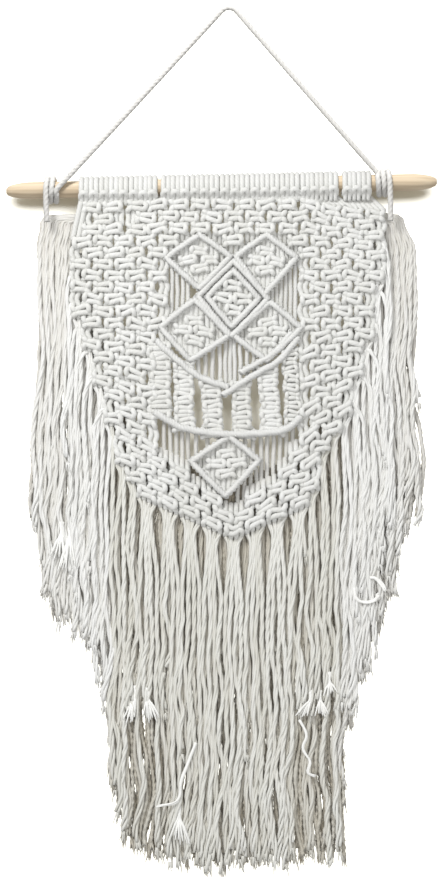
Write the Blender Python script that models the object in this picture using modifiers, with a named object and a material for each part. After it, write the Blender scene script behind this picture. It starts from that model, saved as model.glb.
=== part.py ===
"""A macrame wall hanging on its wooden rod.

Metres, +Z up, the front faces -Y. The origin is the point inside the top of the hanger cord where a
wall hook bears. Sizes below are in millimetres: "across" is to the right of the hook, "drop" is
downwards from it, and "depth" is towards the wall from the rod's axis.
"""

import math
import random

import bmesh
import bpy
from mathutils import Vector

MM = 0.001
NAME = "macrame_wall_hanging"
RANDOM = random.Random(7)

# Rod
ROD_DIAMETER = 15.0
ROD_LENGTH = 379.0
ROD_MIDDLE_ACROSS = -6.5
ROD_MIDDLE_DROP = 155.0
ROD_TILT = math.radians(1.2)  # the right end hangs higher
ROD_SIDES = 20
ROD_END = ((0.0, 2.2), (1.6, 4.0), (6.0, 5.6), (13.0, 6.9), (20.0, 7.5))  # (from the tip, radius)

# Hanger cord: wound round the rod at each end
HANGER_CORD = 4.8  # its diameter; the knotted cords are 4 mm thick
WIND_STEPS = 12  # for each turn
LEFT_WIND_STEPS, RIGHT_WIND_STEPS = 24, 26
WIND_PITCH = 4.95
WIND_RADIUS = ROD_DIAMETER / 2 + 0.3 + HANGER_CORD / 2
LEFT_WIND_ACROSS, RIGHT_WIND_ACROSS = -160.6, 140.9  # where the tails come up to the rod
LEFT_TAIL = ((-159.6, 187.0, -9.3), (-160.4, 173.0, -10.1))  # (across, drop, depth)
RIGHT_TAIL = ((141.7, 186.0, -9.4), (141.6, 171.0, -10.1))
HOOK_BEND = 9.0  # the radius in which the cord bends over the hook
LEG_STEPS = 10

# The row of lark's heads on the rod
HEADS = 29
HEADS_LEFT, HEADS_RIGHT = -132.0, 124.4
HEAD_RADIUS, HEAD_VALLEY = 12.0, 10.6
BORE_RADIUS = 8.1
SHEET_TOP_BELOW_AXIS = 9.6

# The net of alternating square knots: half pitches counted from its middle, rows from the top
NET_MIDDLE = 4.0
HALF_PITCH = 9.55
ROW_PITCH = 10.34
FIRST_ROW_DROP = 171.4
LEVEL_ROWS = 11  # the rows below this one tilt more and more into a V
LAST_ROW = 24
V_SLOPE = 0.445
V_REACH = 110.0  # at this distance from the middle the tilted rows keep their pitch
SETTLE_ROWS = 6  # the rows that still follow the rod's tilt
NET_DEPTH = -2.0
NET_THIN, NET_THICK = 1.7, 4.6  # half the net's thickness between the knots and on them
KNOT_WIDE, KNOT_HIGH = 0.74, 0.5  # the raised part of a knot as shares of its cell
BACK_RIDGE = 0.5
NET_UNEVEN = 0.45
SLIT_ROW, SLIT_AT = 1, -10  # a slit splits this knot's place
SLIT_HALF_WIDTH = 2.2

# For each row, the knots that it has, counted in half pitches from the middle: from the outermost on
# the left to the innermost beside the motif, from the innermost on the right to the outermost, and
# the last knot of a short stretch in the middle. None stands for no motif and for no such stretch.
NET_ROWS = (
    # left outer, left inner, right inner, right outer, middle
    (13, None, None, 13, None),
    (12, None, None, 12, None),
    (13, None, None, 13, None),
    (12, 6, 6, 12, 0),
    (13, 7, 7, 13, None),
    (12, 8, 8, 12, None),
    (13, 7, 7, 13, None),
    (12, 8, 8, 12, None),
    (13, 7, 7, 11, None),
    (12, 8, 8, 12, None),
    (13, 7, 7, 11, None),
    (12, 8, 8, 12, None),
    (13, 7, 7, 11, None),
    (12, 8, 8, 10, None),
    (11, 9, 7, 11, None),
    (12, 8, 8, 10, None),
    (11, 9, 7, 9, None),
    (10, 8, 8, 10, None),
    (11, 9, 7, 9, None),
    (10, 8, 6, 8, None),
    (9, 5, 5, 7, None),
    (10, 2, 2, 6, None),
    (9, None, None, 7, None),
    (8, None, None, 6, None),
)

# The diamonds of the motif, each a frame of four bars round four knots: its corners (across, drop)
DIAMONDS = (
    # top, left, bottom, right
    ((-26, 198), (-55, 218), (-26, 245), (1, 217)),
    ((33, 198), (6, 217), (31, 250), (59, 218)),
    ((4, 221), (-27, 252), (2, 287), (34, 254)),
    ((-30, 255), (-60, 279), (-34, 308), (0, 286)),
    ((36, 257), (4, 286), (33, 308), (63, 280)),
    ((0, 375), (-33, 397), (-3, 427), (26, 396)),
)
BAR_RADIUS, BAR_RIDGE = 2.75, 3.45
BAR_RIDGE_PITCH = 17.0
BAR_DEPTH = NET_DEPTH - 0.5
BAR_UNEVEN = 0.3
BAR_FLATTEN = 1.5  # a bar is deeper than it is wide
DIAMOND_INSET = 0.78
# A diamond's frame, from its outer edge inwards: (outwards of the bar's middle, half its thickness)
FRAME_RINGS = ((3.3, 1.9), (1.7, 5.4), (-1.3, 5.3), (-3.0, 1.9))

# Bars that run outside the diamonds: points (across, drop)
LONG_BARS = (
    ((-62, 291), (-43, 308), (-23, 324), (1, 334)),
    ((61, 288), (44, 308), (29, 317), (14, 326), (-6, 338)),
    ((56, 283), (41, 302), (26, 311), (8, 321)),
    ((-68, 352), (-51, 362), (-33, 370), (-2, 375), (33, 373), (55, 366), (64, 357)),
)

# Sinnets of square knots between the V and the curved bar below it
SINNET_RIDGE_PITCH = 4.6
SINNET_FLATTEN = 0.62
SINNET_DEPTH = NET_DEPTH - 0.2
SINNETS = (
    # top across, top drop, bottom across, bottom drop, half width
    (-59, 294, -61, 358, 8.0),
    (-40, 310, -39, 368, 6.8),
    (-17, 326, -16, 374, 7.0),
    (11, 327, 13, 375, 6.4),
    (33, 314, 37, 372, 7.0),
    (52, 298, 57, 364, 5.4),
)

# Cords that run free from one bar to the next
FLOAT_RADIUS = 2.0
FLOAT_DEPTH = NET_DEPTH + 0.8
FLOATS = (
    # first across, last across, how many, top drop first and last, bottom drop first and last
    (-54, -36, 4, 219, 235, 275, 259),
    (38, 57, 4, 244, 220, 259, 277),
    (-27, -3, 5, 302, 288, 322, 333),
    (7, 27, 4, 288, 303, 324, 312),
    (-57, -36, 4, 360, 369, 412, 400),
    (-29, -9, 3, 372, 375, 395, 382),
    (7, 21, 3, 375, 374, 381, 391),
    (29, 54, 4, 373, 366, 424, 400),
)

# The fringe: cords that leave the net's edge and hang in lanes side by side
LANE_PITCH = 5.5
LANE_FIRST, LANE_LAST = -167.0, 164.0
LANE_RADIUS = 1.95
# Where the cord of a lane is rooted behind the edge: (lane, root across, root drop)
ROOTS = (
    (-167, -159, 181),
    (-146, -128, 184),
    (-138, -126, 240),
    (-127, -122, 296),
    (-118, -114, 326),
    (-109, -104, 358),
    (-104, -97, 384),
    (-94, -89, 401),
    (-84, -80, 422),
    (3, 3, 463),
    (68, 65, 435),
    (76, 71, 422),
    (86, 81, 396),
    (96, 90, 372),
    (104, 99, 350),
    (113, 107, 325),
    (122, 117, 295),
    (132, 127, 250),
    (145, 132, 206),
    (164, 132, 177),
)
SIDE_LEFT, SIDE_RIGHT = -84.0, 68.0  # the lanes beyond these pass the net's side
# Where a lane's cord ends: (lane, drop)
ENDS = (
    (-167, 462),
    (-162, 500),
    (-157, 530),
    (-143, 538),
    (-129, 551),
    (-121, 573),
    (-112, 590),
    (-106, 640),
    (-102, 692),
    (-95, 716),
    (-87, 737),
    (-69, 746),
    (-7, 754),
    (38, 752),
    (97, 747),
    (100, 700),
    (105, 640),
    (114, 598),
    (125, 551),
    (136, 531),
    (144, 514),
    (152, 468),
    (164, 432),
)
LAYERS = (
    # share of a pitch, depth at the root, depth below, points, shorter by
    (0.0, 4.9, -1.2, 4, 0.0),
    (0.5, 7.1, 5.6, 3, 9.0),
)
FRINGES = (
    # node, first lane, last lane
    ("fringe_left", -170.0, -105.0),
    ("fringe_centre", -102.0, 98.0),
    ("fringe_right", 101.5, 170.0),
)
STRIP_DEPTH = 6.0
STRIP_RADIUS = 2.7
BEND_BELOW, BEND_SLOPE = 20.0, 0.55  # where a cord hangs straight: below its root, and per mm aside
WAVE = 2.1
WAVE_LENGTH = 150.0
FRINGE_UNEVEN = 0.5
END_UNEVEN = 7.0

MATERIALS = {
    # colour, roughness
    "natural_cotton": ((0.72, 0.71, 0.66, 1.0), 0.9),
    "hanger_cotton": ((0.66, 0.64, 0.58, 1.0), 0.9),
    "fringe_cotton": ((0.70, 0.69, 0.63, 1.0), 0.92),
    "pine": ((0.72, 0.52, 0.30, 1.0), 0.55),
}


def point(across, drop, depth):
    """A point given in millimetres from the hook, in metres."""
    return Vector((across, depth, -drop)) * MM


def between(table, at, column=1):
    """A table's column at a place between its rows, whose first column grows."""
    if at <= table[0][0]:
        return table[0][column]
    for low, high in zip(table, table[1:]):
        if at <= high[0]:
            share = (at - low[0]) / (high[0] - low[0])
            return low[column] + (high[column] - low[column]) * share
    return table[-1][column]


def clear_scene():
    for thing in list(bpy.data.objects):
        bpy.data.objects.remove(thing, do_unlink=True)


def new_collection(name, helpers=False):
    collection = bpy.data.collections.new(name)
    bpy.context.scene.collection.children.link(collection)
    collection.hide_render = helpers
    return collection


def material_of(name):
    """The Principled material of that name, made at its first use."""
    if name in bpy.data.materials:
        return bpy.data.materials[name]
    colour, roughness = MATERIALS[name]
    material = bpy.data.materials.new(name)
    material.use_nodes = True
    shader = material.node_tree.nodes["Principled BSDF"]
    shader.inputs["Base Color"].default_value = colour
    shader.inputs["Roughness"].default_value = roughness
    shader.inputs["Metallic"].default_value = 0.0
    return material


def add_object(name, mesh, material, collection):
    thing = bpy.data.objects.new(name, mesh)
    thing.data.materials.clear()
    thing.data.materials.append(material_of(material))
    collection.objects.link(thing)
    return thing


def add_helper(name, mesh, collection):
    helper = bpy.data.objects.new(name, mesh)
    collection.objects.link(helper)
    helper.hide_render = True
    helper.display_type = "WIRE"
    return helper


def triangle_profile():
    """A closed triangle of unit radius, in millimetres, for the thinnest cords."""
    profile = bpy.data.curves.new("triangle", "CURVE")
    spline = profile.splines.new("POLY")
    spline.points.add(2)
    spline.use_cyclic_u = True
    for number, target in enumerate(spline.points):
        angle = math.tau * number / 3
        target.co = (MM * math.cos(angle), MM * math.sin(angle), 0.0, 1.0)
    guide = bpy.data.objects.new("triangle", profile)
    bpy.context.scene.collection.objects.link(guide)
    return guide


def tubes_mesh(name, routes, resolution=None, flatten=1.0):
    """One mesh of a closed tube for each route, which lists (across, drop, depth, radius).

    Without a resolution the tubes have three sides.
    """
    curve = bpy.data.curves.new(name, "CURVE")
    curve.dimensions = "3D"
    profile = None
    if resolution is None:
        profile = triangle_profile()
        curve.bevel_mode = "OBJECT"
        curve.bevel_object = profile
    else:
        curve.bevel_depth = MM
        curve.bevel_resolution = resolution
    curve.use_fill_caps = True
    for route in routes:
        spline = curve.splines.new("POLY")
        spline.points.add(len(route) - 1)
        for target, (across, drop, depth, radius) in zip(spline.points, route):
            target.co = (*point(across, drop, depth), 1.0)
            target.radius = radius
    guide = bpy.data.objects.new(name + "_guide", curve)
    bpy.context.scene.collection.objects.link(guide)
    bpy.context.view_layer.update()
    graph = bpy.context.evaluated_depsgraph_get()
    mesh = bpy.data.meshes.new_from_object(guide.evaluated_get(graph))
    bpy.data.objects.remove(guide, do_unlink=True)
    if profile:
        bpy.data.objects.remove(profile, do_unlink=True)
    mesh.name = name
    shape = bmesh.new()
    shape.from_mesh(mesh)
    bmesh.ops.remove_doubles(shape, verts=shape.verts, dist=0.00001)
    for vertex in shape.verts:
        vertex.co.y = NET_DEPTH * MM + (vertex.co.y - NET_DEPTH * MM) * flatten
    bmesh.ops.recalc_face_normals(shape, faces=shape.faces)
    shape.to_mesh(mesh)
    shape.free()
    return mesh


def add_boolean(thing, operation, other, self_crossing=False):
    modifier = thing.modifiers.new(operation.lower() + "_" + other.name, "BOOLEAN")
    modifier.operation = operation
    modifier.solver = "EXACT"
    modifier.use_self = self_crossing
    modifier.object = other


def rod_drop(across):
    """The drop of the rod's axis."""
    return ROD_MIDDLE_DROP - (across - ROD_MIDDLE_ACROSS) * math.tan(ROD_TILT)


# Rod


def make_rod(collection):
    """A turned dowel with softly rounded ends, along its own X axis and then tilted."""
    half = ROD_LENGTH / 2
    left = [(-half + from_tip, radius) for from_tip, radius in ROD_END]
    right = [(-along, radius) for along, radius in reversed(left)]
    profile = [(-half, 0.0)] + left + right + [(half, 0.0)]
    mesh = bpy.data.meshes.new("rod")
    points = [(along * MM, 0.0, radius * MM) for along, radius in profile]
    edges = [(i, i + 1) for i in range(len(points) - 1)]
    mesh.from_pydata(points, edges, [])
    rod = add_object("rod", mesh, "pine", collection)
    screw = rod.modifiers.new("turn", "SCREW")
    screw.axis = "X"
    screw.steps = screw.render_steps = ROD_SIDES
    screw.use_merge_vertices = True
    screw.merge_threshold = 0.00005
    screw.use_normal_flip = True
    rod.location = point(ROD_MIDDLE_ACROSS, ROD_MIDDLE_DROP, 0.0)
    rod.rotation_euler = (0.0, -ROD_TILT, 0.0)
    return rod


# Hanger cord


def wind(across, direction, steps):
    """Points round the rod from its front, up over the top, back to the front and so on."""
    points = []
    for step in range(steps + 1):
        turn = step / WIND_STEPS
        angle = math.tau * turn
        here = across + direction * WIND_PITCH * turn
        depth = -WIND_RADIUS * math.cos(angle)
        points.append((here, rod_drop(here) - WIND_RADIUS * math.sin(angle), depth))
    return points


def leg(start, end, steps):
    """The points strictly between two places on a straight, nearly taut stretch."""
    points = []
    for step in range(1, steps):
        share = step / steps
        sag = 0.3 * math.sin(math.pi * share)
        points.append(tuple(a + (b - a) * share for a, b in zip(start, end)))
        across, drop, depth = points[-1]
        points[-1] = (across, drop + sag, depth)
    return points


def hanger_route():
    """From the left tail, round the rod, over the hook, and round the rod to the right tail."""
    left = wind(LEFT_WIND_ACROSS, 1, LEFT_WIND_STEPS)
    right = wind(RIGHT_WIND_ACROSS, -1, RIGHT_WIND_STEPS)
    bend = []
    for degrees in (-54, -27, 0, 27, 54):
        angle = math.radians(degrees)
        centre_drop = -HANGER_CORD / 2 + HOOK_BEND
        bend.append((HOOK_BEND * math.sin(angle), centre_drop - HOOK_BEND * math.cos(angle), 0.0))
    route = list(LEFT_TAIL) + left
    route += leg(left[-1], bend[0], LEG_STEPS) + bend + leg(bend[-1], right[-1], LEG_STEPS)
    return route + right[::-1] + list(RIGHT_TAIL[::-1])


def make_hanger(collection):
    curve = bpy.data.curves.new("hanger_cord", "CURVE")
    curve.dimensions = "3D"
    curve.bevel_depth = HANGER_CORD / 2 * MM
    curve.bevel_resolution = 2
    curve.use_fill_caps = True
    route = hanger_route()
    spline = curve.splines.new("POLY")
    spline.points.add(len(route) - 1)
    for target, place in zip(spline.points, route):
        target.co = (*point(*place), 1.0)
    return add_object("hanger_cord", curve, "hanger_cotton", collection)


# Net


def net_slope(row):
    return V_SLOPE * max(0.0, row - LEVEL_ROWS) / (LAST_ROW - 1 - LEVEL_ROWS)


def net_point(column, row):
    """(across, drop) of a corner of the net, counted in half pitches and rows."""
    if row < 0:
        share = (column + 14) / 28
        across = HEADS_LEFT + (HEADS_RIGHT - HEADS_LEFT) * min(max(share, 0.01), 0.99)
        return across, rod_drop(across) + SHEET_TOP_BELOW_AXIS
    across = NET_MIDDLE + column * HALF_PITCH
    level = FIRST_ROW_DROP + row * ROW_PITCH
    settle = max(0.0, 1 - row / SETTLE_ROWS) * (rod_drop(across) - rod_drop(NET_MIDDLE))
    fall = net_slope(row) * (V_REACH - abs(across - NET_MIDDLE))
    return across, level + settle + fall


def net_cells():
    """The knots' places (column, row) in the net."""
    cells = []
    for row, (left, left_inner, right_inner, right, middle) in enumerate(NET_ROWS):
        for column in range(-left, right + 1):
            if (column + row) % 2 == 0 or (row, column) == (SLIT_ROW, SLIT_AT):
                continue
            in_motif = left_inner is not None and -left_inner < column < right_inner
            in_middle = middle is not None and abs(column) <= middle
            if in_motif and not in_middle:
                continue
            cells.append((column, row))
    return cells


class Relief:
    """A sheet of cells, each with a raised field on its front and back."""

    def __init__(self):
        self.corners = {}
        self.places = []
        self.thickness = {}
        self.cells = []

    def corner(self, key, across, drop):
        """The number of the corner with this key, made at its first use."""
        if key not in self.corners:
            self.corners[key] = len(self.places)
            self.places.append((across, drop))
        return self.corners[key]

    def add_cell(self, corners, wide=KNOT_WIDE, high=KNOT_HIGH, raised=True):
        """A cell whose corners run anticlockwise seen from the front."""
        self.cells.append((list(corners), wide, high, raised))

    def raise_corner(self, corner, thick):
        """Makes the sheet this thick at a corner."""
        self.thickness[corner] = thick

    def part_fans(self):
        """Where cells meet at a corner only, each group gets a corner of its own, a little apart."""
        around = {}
        for index, (corners, *_) in enumerate(self.cells):
            for corner in corners:
                around.setdefault(corner, []).append(index)
        for corner, members in around.items():
            groups = []
            for index in members:
                cell = self.cells[index][0]
                at = cell.index(corner)
                sides = {cell[at - 1], cell[(at + 1) % len(cell)]}
                touching = [group for group in groups if group[1] & sides]
                for group in touching:
                    groups.remove(group)
                    sides |= group[1]
                groups.append((sum((group[0] for group in touching), []) + [index], sides))
            for cells, _ in groups[1:] if len(groups) > 1 else ():
                copy = len(self.places)
                self.places.append(self.places[corner])
                for index in cells:
                    cell = self.cells[index][0]
                    cell[cell.index(corner)] = copy
                self.pull(copy, cells)
            if len(groups) > 1:
                self.pull(corner, groups[0][0])

    def pull(self, corner, cells):
        """Moves a corner a little towards the cells that it belongs to."""
        points = [self.places[c] for index in cells for c in self.cells[index][0]]
        middle = [sum(values) / len(points) for values in zip(*points)]
        here = self.places[corner]
        reach = math.dist(here, middle)
        self.places[corner] = tuple(a + (b - a) * 0.9 / reach for a, b in zip(here, middle))

    def mesh(self, name):
        self.part_fans()
        points, faces = [], []
        for number, (across, drop) in enumerate(self.places):
            half = self.thickness.get(number, NET_THIN)
            points.append(point(across, drop, NET_DEPTH - half))
            points.append(point(across, drop, NET_DEPTH + half))
        edges = {}
        for corners, wide, high, raised in self.cells:
            for a, b in zip(corners, corners[1:] + corners[:1]):
                edges[(a, b)] = True
            front = [2 * corner for corner in corners]
            back = [2 * corner + 1 for corner in corners][::-1]
            if not raised:
                faces += [front, back]
                continue
            places = [self.places[corner] for corner in corners]
            middle = [sum(values) / len(places) for values in zip(*places)]
            inner = []
            for across, drop in places:
                across = middle[0] + (across - middle[0]) * wide
                drop = middle[1] + (drop - middle[1]) * high
                inner.append(len(points))
                points.append(point(across, drop, NET_DEPTH - NET_THICK))
            faces.append(inner)
            for i, j in zip(range(4), (1, 2, 3, 0)):
                faces.append([front[i], front[j], inner[j], inner[i]])
            # The back of a knot is a plain ridge from side to side
            left, low, right, top = (2 * corner + 1 for corner in corners)
            crest = []
            for across, drop in (places[0], places[2]):
                across = middle[0] + (across - middle[0]) * BACK_RIDGE
                crest.append(len(points))
                points.append(point(across, drop, NET_DEPTH + NET_THICK))
            faces += [[left, crest[0], low], [low, crest[1], right], [low, crest[0], crest[1]]]
            faces += [[right, crest[1], top], [top, crest[0], left], [top, crest[1], crest[0]]]
        for a, b in edges:
            if (b, a) not in edges:
                faces.append([2 * b, 2 * a, 2 * a + 1, 2 * b + 1])
        mesh = bpy.data.meshes.new(name)
        mesh.from_pydata(points, [], faces)
        return mesh


def uneven(amount):
    return RANDOM.uniform(-amount, amount)


def build_net():
    """The net with its half cells under the lark's heads and beside the slit."""
    relief = Relief()

    def corner(column, row):
        across, drop = net_point(column, row)
        if row >= 0:
            across, drop = across + uneven(NET_UNEVEN), drop + uneven(NET_UNEVEN)
        return relief.corner((column, row), across, drop)

    for column, row in net_cells():
        relief.add_cell(
            [
                corner(column - 1, row),
                corner(column, row + 1),
                corner(column + 1, row),
                corner(column, row - 1),
            ]
        )
    for column in range(-12, 13, 2):
        top = [corner(column - 1, -1), corner(column, 0), corner(column + 1, -1)]
        relief.add_cell(top, raised=False)
    # The slit: its two sides are the halves of a knot's place, parted
    for side in (-1, 1):
        ends = []
        for row in (SLIT_ROW - 1, SLIT_ROW + 1):
            across, drop = net_point(SLIT_AT, row)
            shift = -1.5 if row < SLIT_ROW else 1.5
            key = ("slit", side, row)
            ends.append(relief.corner(key, across + side * SLIT_HALF_WIDTH, drop - shift))
        outer = corner(SLIT_AT + side, SLIT_ROW)
        upper = corner(SLIT_AT, SLIT_ROW - 1)
        lower = corner(SLIT_AT, SLIT_ROW + 1)
        loop = [outer, lower, ends[1], ends[0], upper]
        relief.add_cell(loop if side < 0 else loop[::-1], raised=False)
    return relief.mesh("knotted_net")


def diamond_cells(relief, number, corners):
    """Four knots inside a raised frame."""
    top, left, bottom, right = corners
    edge = math.dist(top, left)

    def inside(u, v, key):
        """A corner of the diamond: u runs from top to right, v from top to left, both from 0 to 1."""
        place = []
        for t, l, b, r in zip(top, left, bottom, right):
            place.append(t * (1 - u) * (1 - v) + r * u * (1 - v) + b * u * v + l * (1 - u) * v)
        return relief.corner((number, *key), *place)

    rings = []
    for ring, (outwards, thick) in enumerate(FRAME_RINGS):
        low, high = -outwards / edge, 1 + outwards / edge
        found = []
        for side, (u, v) in enumerate(((low, low), (low, high), (high, high), (high, low))):
            found.append(inside(u, v, (ring, side)))
            relief.raise_corner(found[-1], thick)
        rings.append(found)
    for outer, inner in zip(rings, rings[1:]):
        for i, j in ((0, 1), (1, 2), (2, 3), (3, 0)):
            loop = [outer[i], outer[j], inner[j], inner[i]]
            if inner is rings[-1]:
                middle_u, middle_v = ((0, 0.5), (0.5, 1), (1, 0.5), (0.5, 0))[i]
                loop.insert(3, knot_corner(inside, edge, middle_u, middle_v))
            relief.add_cell(loop, raised=False)
    for u in (0.0, 0.5):
        for v in (0.0, 0.5):
            cell = []
            for a, b in ((u, v + 0.5), (u + 0.5, v + 0.5), (u + 0.5, v), (u, v)):
                if a in (0.0, 1.0) and b in (0.0, 1.0):
                    side = ((0.0, 0.0), (0.0, 1.0), (1.0, 1.0), (1.0, 0.0)).index((a, b))
                    cell.append(rings[-1][side])
                else:
                    cell.append(knot_corner(inside, edge, a, b))
            relief.add_cell(cell, wide=DIAMOND_INSET, high=0.6)


def knot_corner(inside, edge, u, v):
    """A corner of the four knots in a diamond, which fill the space inside its frame."""
    shrink = 1 + 2 * FRAME_RINGS[-1][0] / edge
    return inside(0.5 + (u - 0.5) * shrink, 0.5 + (v - 0.5) * shrink, ("knots", u, v))


def resampled(points, pitch):
    """Points at an even number of even steps of about that pitch along a polyline."""
    lengths = [math.dist(a, b) for a, b in zip(points, points[1:])]
    steps = max(2, 2 * round(sum(lengths) / pitch / 2))
    found = []
    for step in range(steps + 1):
        left = sum(lengths) * step / steps
        for (a, b), length in zip(zip(points, points[1:]), lengths):
            if left <= length + 1e-9:
                found.append(tuple(p + (q - p) * left / length for p, q in zip(a, b)))
                break
            left -= length
    return found


def ridged(points, pitch, valley, ridge, depth):
    """A route whose radius swells at every second point."""
    route = []
    aside, down, back = uneven(BAR_UNEVEN), uneven(BAR_UNEVEN), uneven(BAR_UNEVEN)
    for number, (across, drop) in enumerate(resampled(points, pitch)):
        radius = ridge if number % 2 else valley
        route.append((across + aside, drop + down, depth + back, radius + uneven(0.1)))
    return route


def motif_bars():
    routes = []
    for points in LONG_BARS:
        routes.append(ridged(points, BAR_RIDGE_PITCH, BAR_RADIUS, BAR_RIDGE, BAR_DEPTH))
    return routes


def sinnets():
    routes = []
    for top, top_drop, bottom, bottom_drop, half in SINNETS:
        ends = ((top, top_drop), (bottom, bottom_drop))
        routes.append(ridged(ends, SINNET_RIDGE_PITCH, half - 1.6, half, SINNET_DEPTH))
    return routes


def floats():
    routes = []
    for first, last, count, top_a, top_b, low_a, low_b in FLOATS:
        for number in range(count):
            share = number / (count - 1)
            across = first + (last - first) * share
            top = top_a + (top_b - top_a) * share
            low = low_a + (low_b - low_a) * share
            depth = FLOAT_DEPTH + uneven(0.3)
            route = []
            for drop in (top, low):
                route.append((across + uneven(0.5), drop + uneven(0.4), depth, FLOAT_RADIUS))
            routes.append(route)
    return routes


def heads_route():
    """The row of lark's heads: a core along the rod that swells once for each of them."""
    length = HEADS_RIGHT - HEADS_LEFT
    route = []
    for step in range(2 * HEADS + 1):
        across = HEADS_LEFT + length * step / (2 * HEADS)
        route.append((across, rod_drop(across), 0.0, HEAD_RADIUS if step % 2 else HEAD_VALLEY))
    return route


def make_panel(collection, helpers):
    """The knotted panel: net, motif and lark's heads in one piece, with the rod's bore."""
    panel = add_object("knotted_panel", build_net(), "natural_cotton", collection)
    fields = Relief()
    for number, corners in enumerate(DIAMONDS):
        diamond_cells(fields, number, corners)
    pieces = (
        # name, mesh, whether its own pieces cross
        ("diamond_fields", fields.mesh("diamond_fields"), True),
        ("bars", tubes_mesh("bars", motif_bars(), 0, BAR_FLATTEN), True),
        ("sinnets", tubes_mesh("sinnets", sinnets(), 0, SINNET_FLATTEN), False),
        ("floats", tubes_mesh("floats", floats(), 0), False),
        ("heads", tubes_mesh("heads", [heads_route()], 2), False),
    )
    for name, mesh, crossing in pieces:
        add_boolean(panel, "UNION", add_helper(name, mesh, helpers), crossing)
    bore = bpy.data.meshes.new("bore")
    shape = bmesh.new()
    bmesh.ops.create_cone(
        shape,
        cap_ends=True,
        segments=ROD_SIDES,
        radius1=BORE_RADIUS * MM,
        radius2=BORE_RADIUS * MM,
        depth=2 * ROD_LENGTH * MM,
    )
    shape.to_mesh(bore)
    shape.free()
    cutter = add_helper("bore", bore, helpers)
    cutter.location = point(ROD_MIDDLE_ACROSS, ROD_MIDDLE_DROP, 0.0)
    cutter.rotation_euler = (0.0, math.pi / 2 - ROD_TILT, 0.0)
    add_boolean(panel, "DIFFERENCE", cutter)
    return panel


# Fringe


def wave(across, drop):
    """How far the cords of the fringe stray sideways: neighbours stray together."""
    phase = across / 38.0
    slow = math.sin(math.tau * drop / WAVE_LENGTH + phase)
    quick = 0.35 * math.sin(math.tau * drop / (WAVE_LENGTH * 0.43) + 1.7 * phase)
    return WAVE * (slow + quick)


def strand(lane, root_depth, depth, spans, shorter):
    """A cord of the fringe, from its root behind the net's edge down to its cut end."""
    root, root_drop = between(ROOTS, lane), between(ROOTS, lane, 2)
    end_drop = between(ENDS, lane) - shorter + uneven(END_UNEVEN)
    route = [(root, root_drop, root_depth, LANE_RADIUS)]
    bend_drop = root_drop + BEND_BELOW + BEND_SLOPE * abs(lane - root)
    beside = lane < SIDE_LEFT or lane > SIDE_RIGHT
    for step in range(spans):
        share = step / (spans - 1)
        drop = bend_drop + (end_drop - bend_drop) * share
        grown = min(1.0, 0.25 + 1.5 * share)
        across = lane + wave(lane, drop) * grown + uneven(FRINGE_UNEVEN)
        here = root_depth if beside and step == 0 else depth + uneven(0.3)
        route.append((across, drop, here, LANE_RADIUS * (1 - 0.12 * share)))
    return route


def strip_mesh(name, first, last):
    """The narrow backing strip in which the roots are fused, straight between the rows of ROOTS."""
    corners = [lane for lane, *_ in ROOTS if first + 1 < lane < last - 1]
    route = []
    for lane in (first, *corners, last):
        route.append((between(ROOTS, lane), between(ROOTS, lane, 2), STRIP_DEPTH, STRIP_RADIUS))
    return tubes_mesh(name, [route], 0)


def make_fringe(name, first, last, collection, helpers):
    lanes = []
    for share, *layer in LAYERS:
        count = int((LANE_LAST - LANE_FIRST) / LANE_PITCH)
        for number in range(count + 1):
            lane = LANE_FIRST + (number + share) * LANE_PITCH
            if first <= lane < last and lane <= LANE_LAST:
                lanes.append((lane, *layer))
    places = [lane for lane, *_ in lanes]
    strip = strip_mesh(name, min(places), max(places))
    fringe = add_object(name, strip, "fringe_cotton", collection)
    cords = tubes_mesh(name + "_cords", [strand(*lane) for lane in lanes])
    add_boolean(fringe, "UNION", add_helper(name + "_cords", cords, helpers), self_crossing=True)
    return fringe


def main():
    clear_scene()
    collection = new_collection(NAME)
    helpers = new_collection("helpers", helpers=True)
    make_rod(collection)
    make_hanger(collection)
    make_panel(collection, helpers)
    for name, first, last in FRINGES:
        make_fringe(name, first, last, collection, helpers)


main()
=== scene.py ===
"""Looks of the macrame hanging on its wooden rod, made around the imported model.

The model is in metres, +Z up, and its front faces -Y. The tables and functions below count in
millimetres from the origin, the place by which the hanger cord is hung up: "across" to the right,
"drop" downwards and "depth" to the back. Cords are tubes that follow the paths which a maker's
hands give them. Each piece draws its small irregularities from a seed of its own.
"""

import math

import bpy
import numpy as np
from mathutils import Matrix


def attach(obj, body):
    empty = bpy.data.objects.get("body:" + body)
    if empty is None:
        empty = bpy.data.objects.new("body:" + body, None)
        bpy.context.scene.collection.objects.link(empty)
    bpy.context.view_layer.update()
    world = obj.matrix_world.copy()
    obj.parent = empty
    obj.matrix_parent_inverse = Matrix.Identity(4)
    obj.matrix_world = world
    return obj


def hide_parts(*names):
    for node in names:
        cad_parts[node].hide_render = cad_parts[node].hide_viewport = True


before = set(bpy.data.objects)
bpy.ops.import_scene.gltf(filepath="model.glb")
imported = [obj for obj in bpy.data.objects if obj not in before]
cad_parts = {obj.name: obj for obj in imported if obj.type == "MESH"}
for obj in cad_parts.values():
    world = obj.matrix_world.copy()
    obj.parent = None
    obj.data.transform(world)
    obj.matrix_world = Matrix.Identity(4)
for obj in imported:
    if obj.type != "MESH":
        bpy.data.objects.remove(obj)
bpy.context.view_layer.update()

MM = 0.001
TAU = 2 * math.pi

# Camera, in the photograph's frame of 440 x 877 pixels
PHOTO_HEIGHT = 877
PIXEL = 0.88  # millimetres of the hanging for each of the photograph's pixels
VIEW_ACROSS, VIEW_DROP = -7.9, 376.8
VIEW_DISTANCE = 2600.0
SENSOR, CLIP_END = 36.0, 50.0

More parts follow.
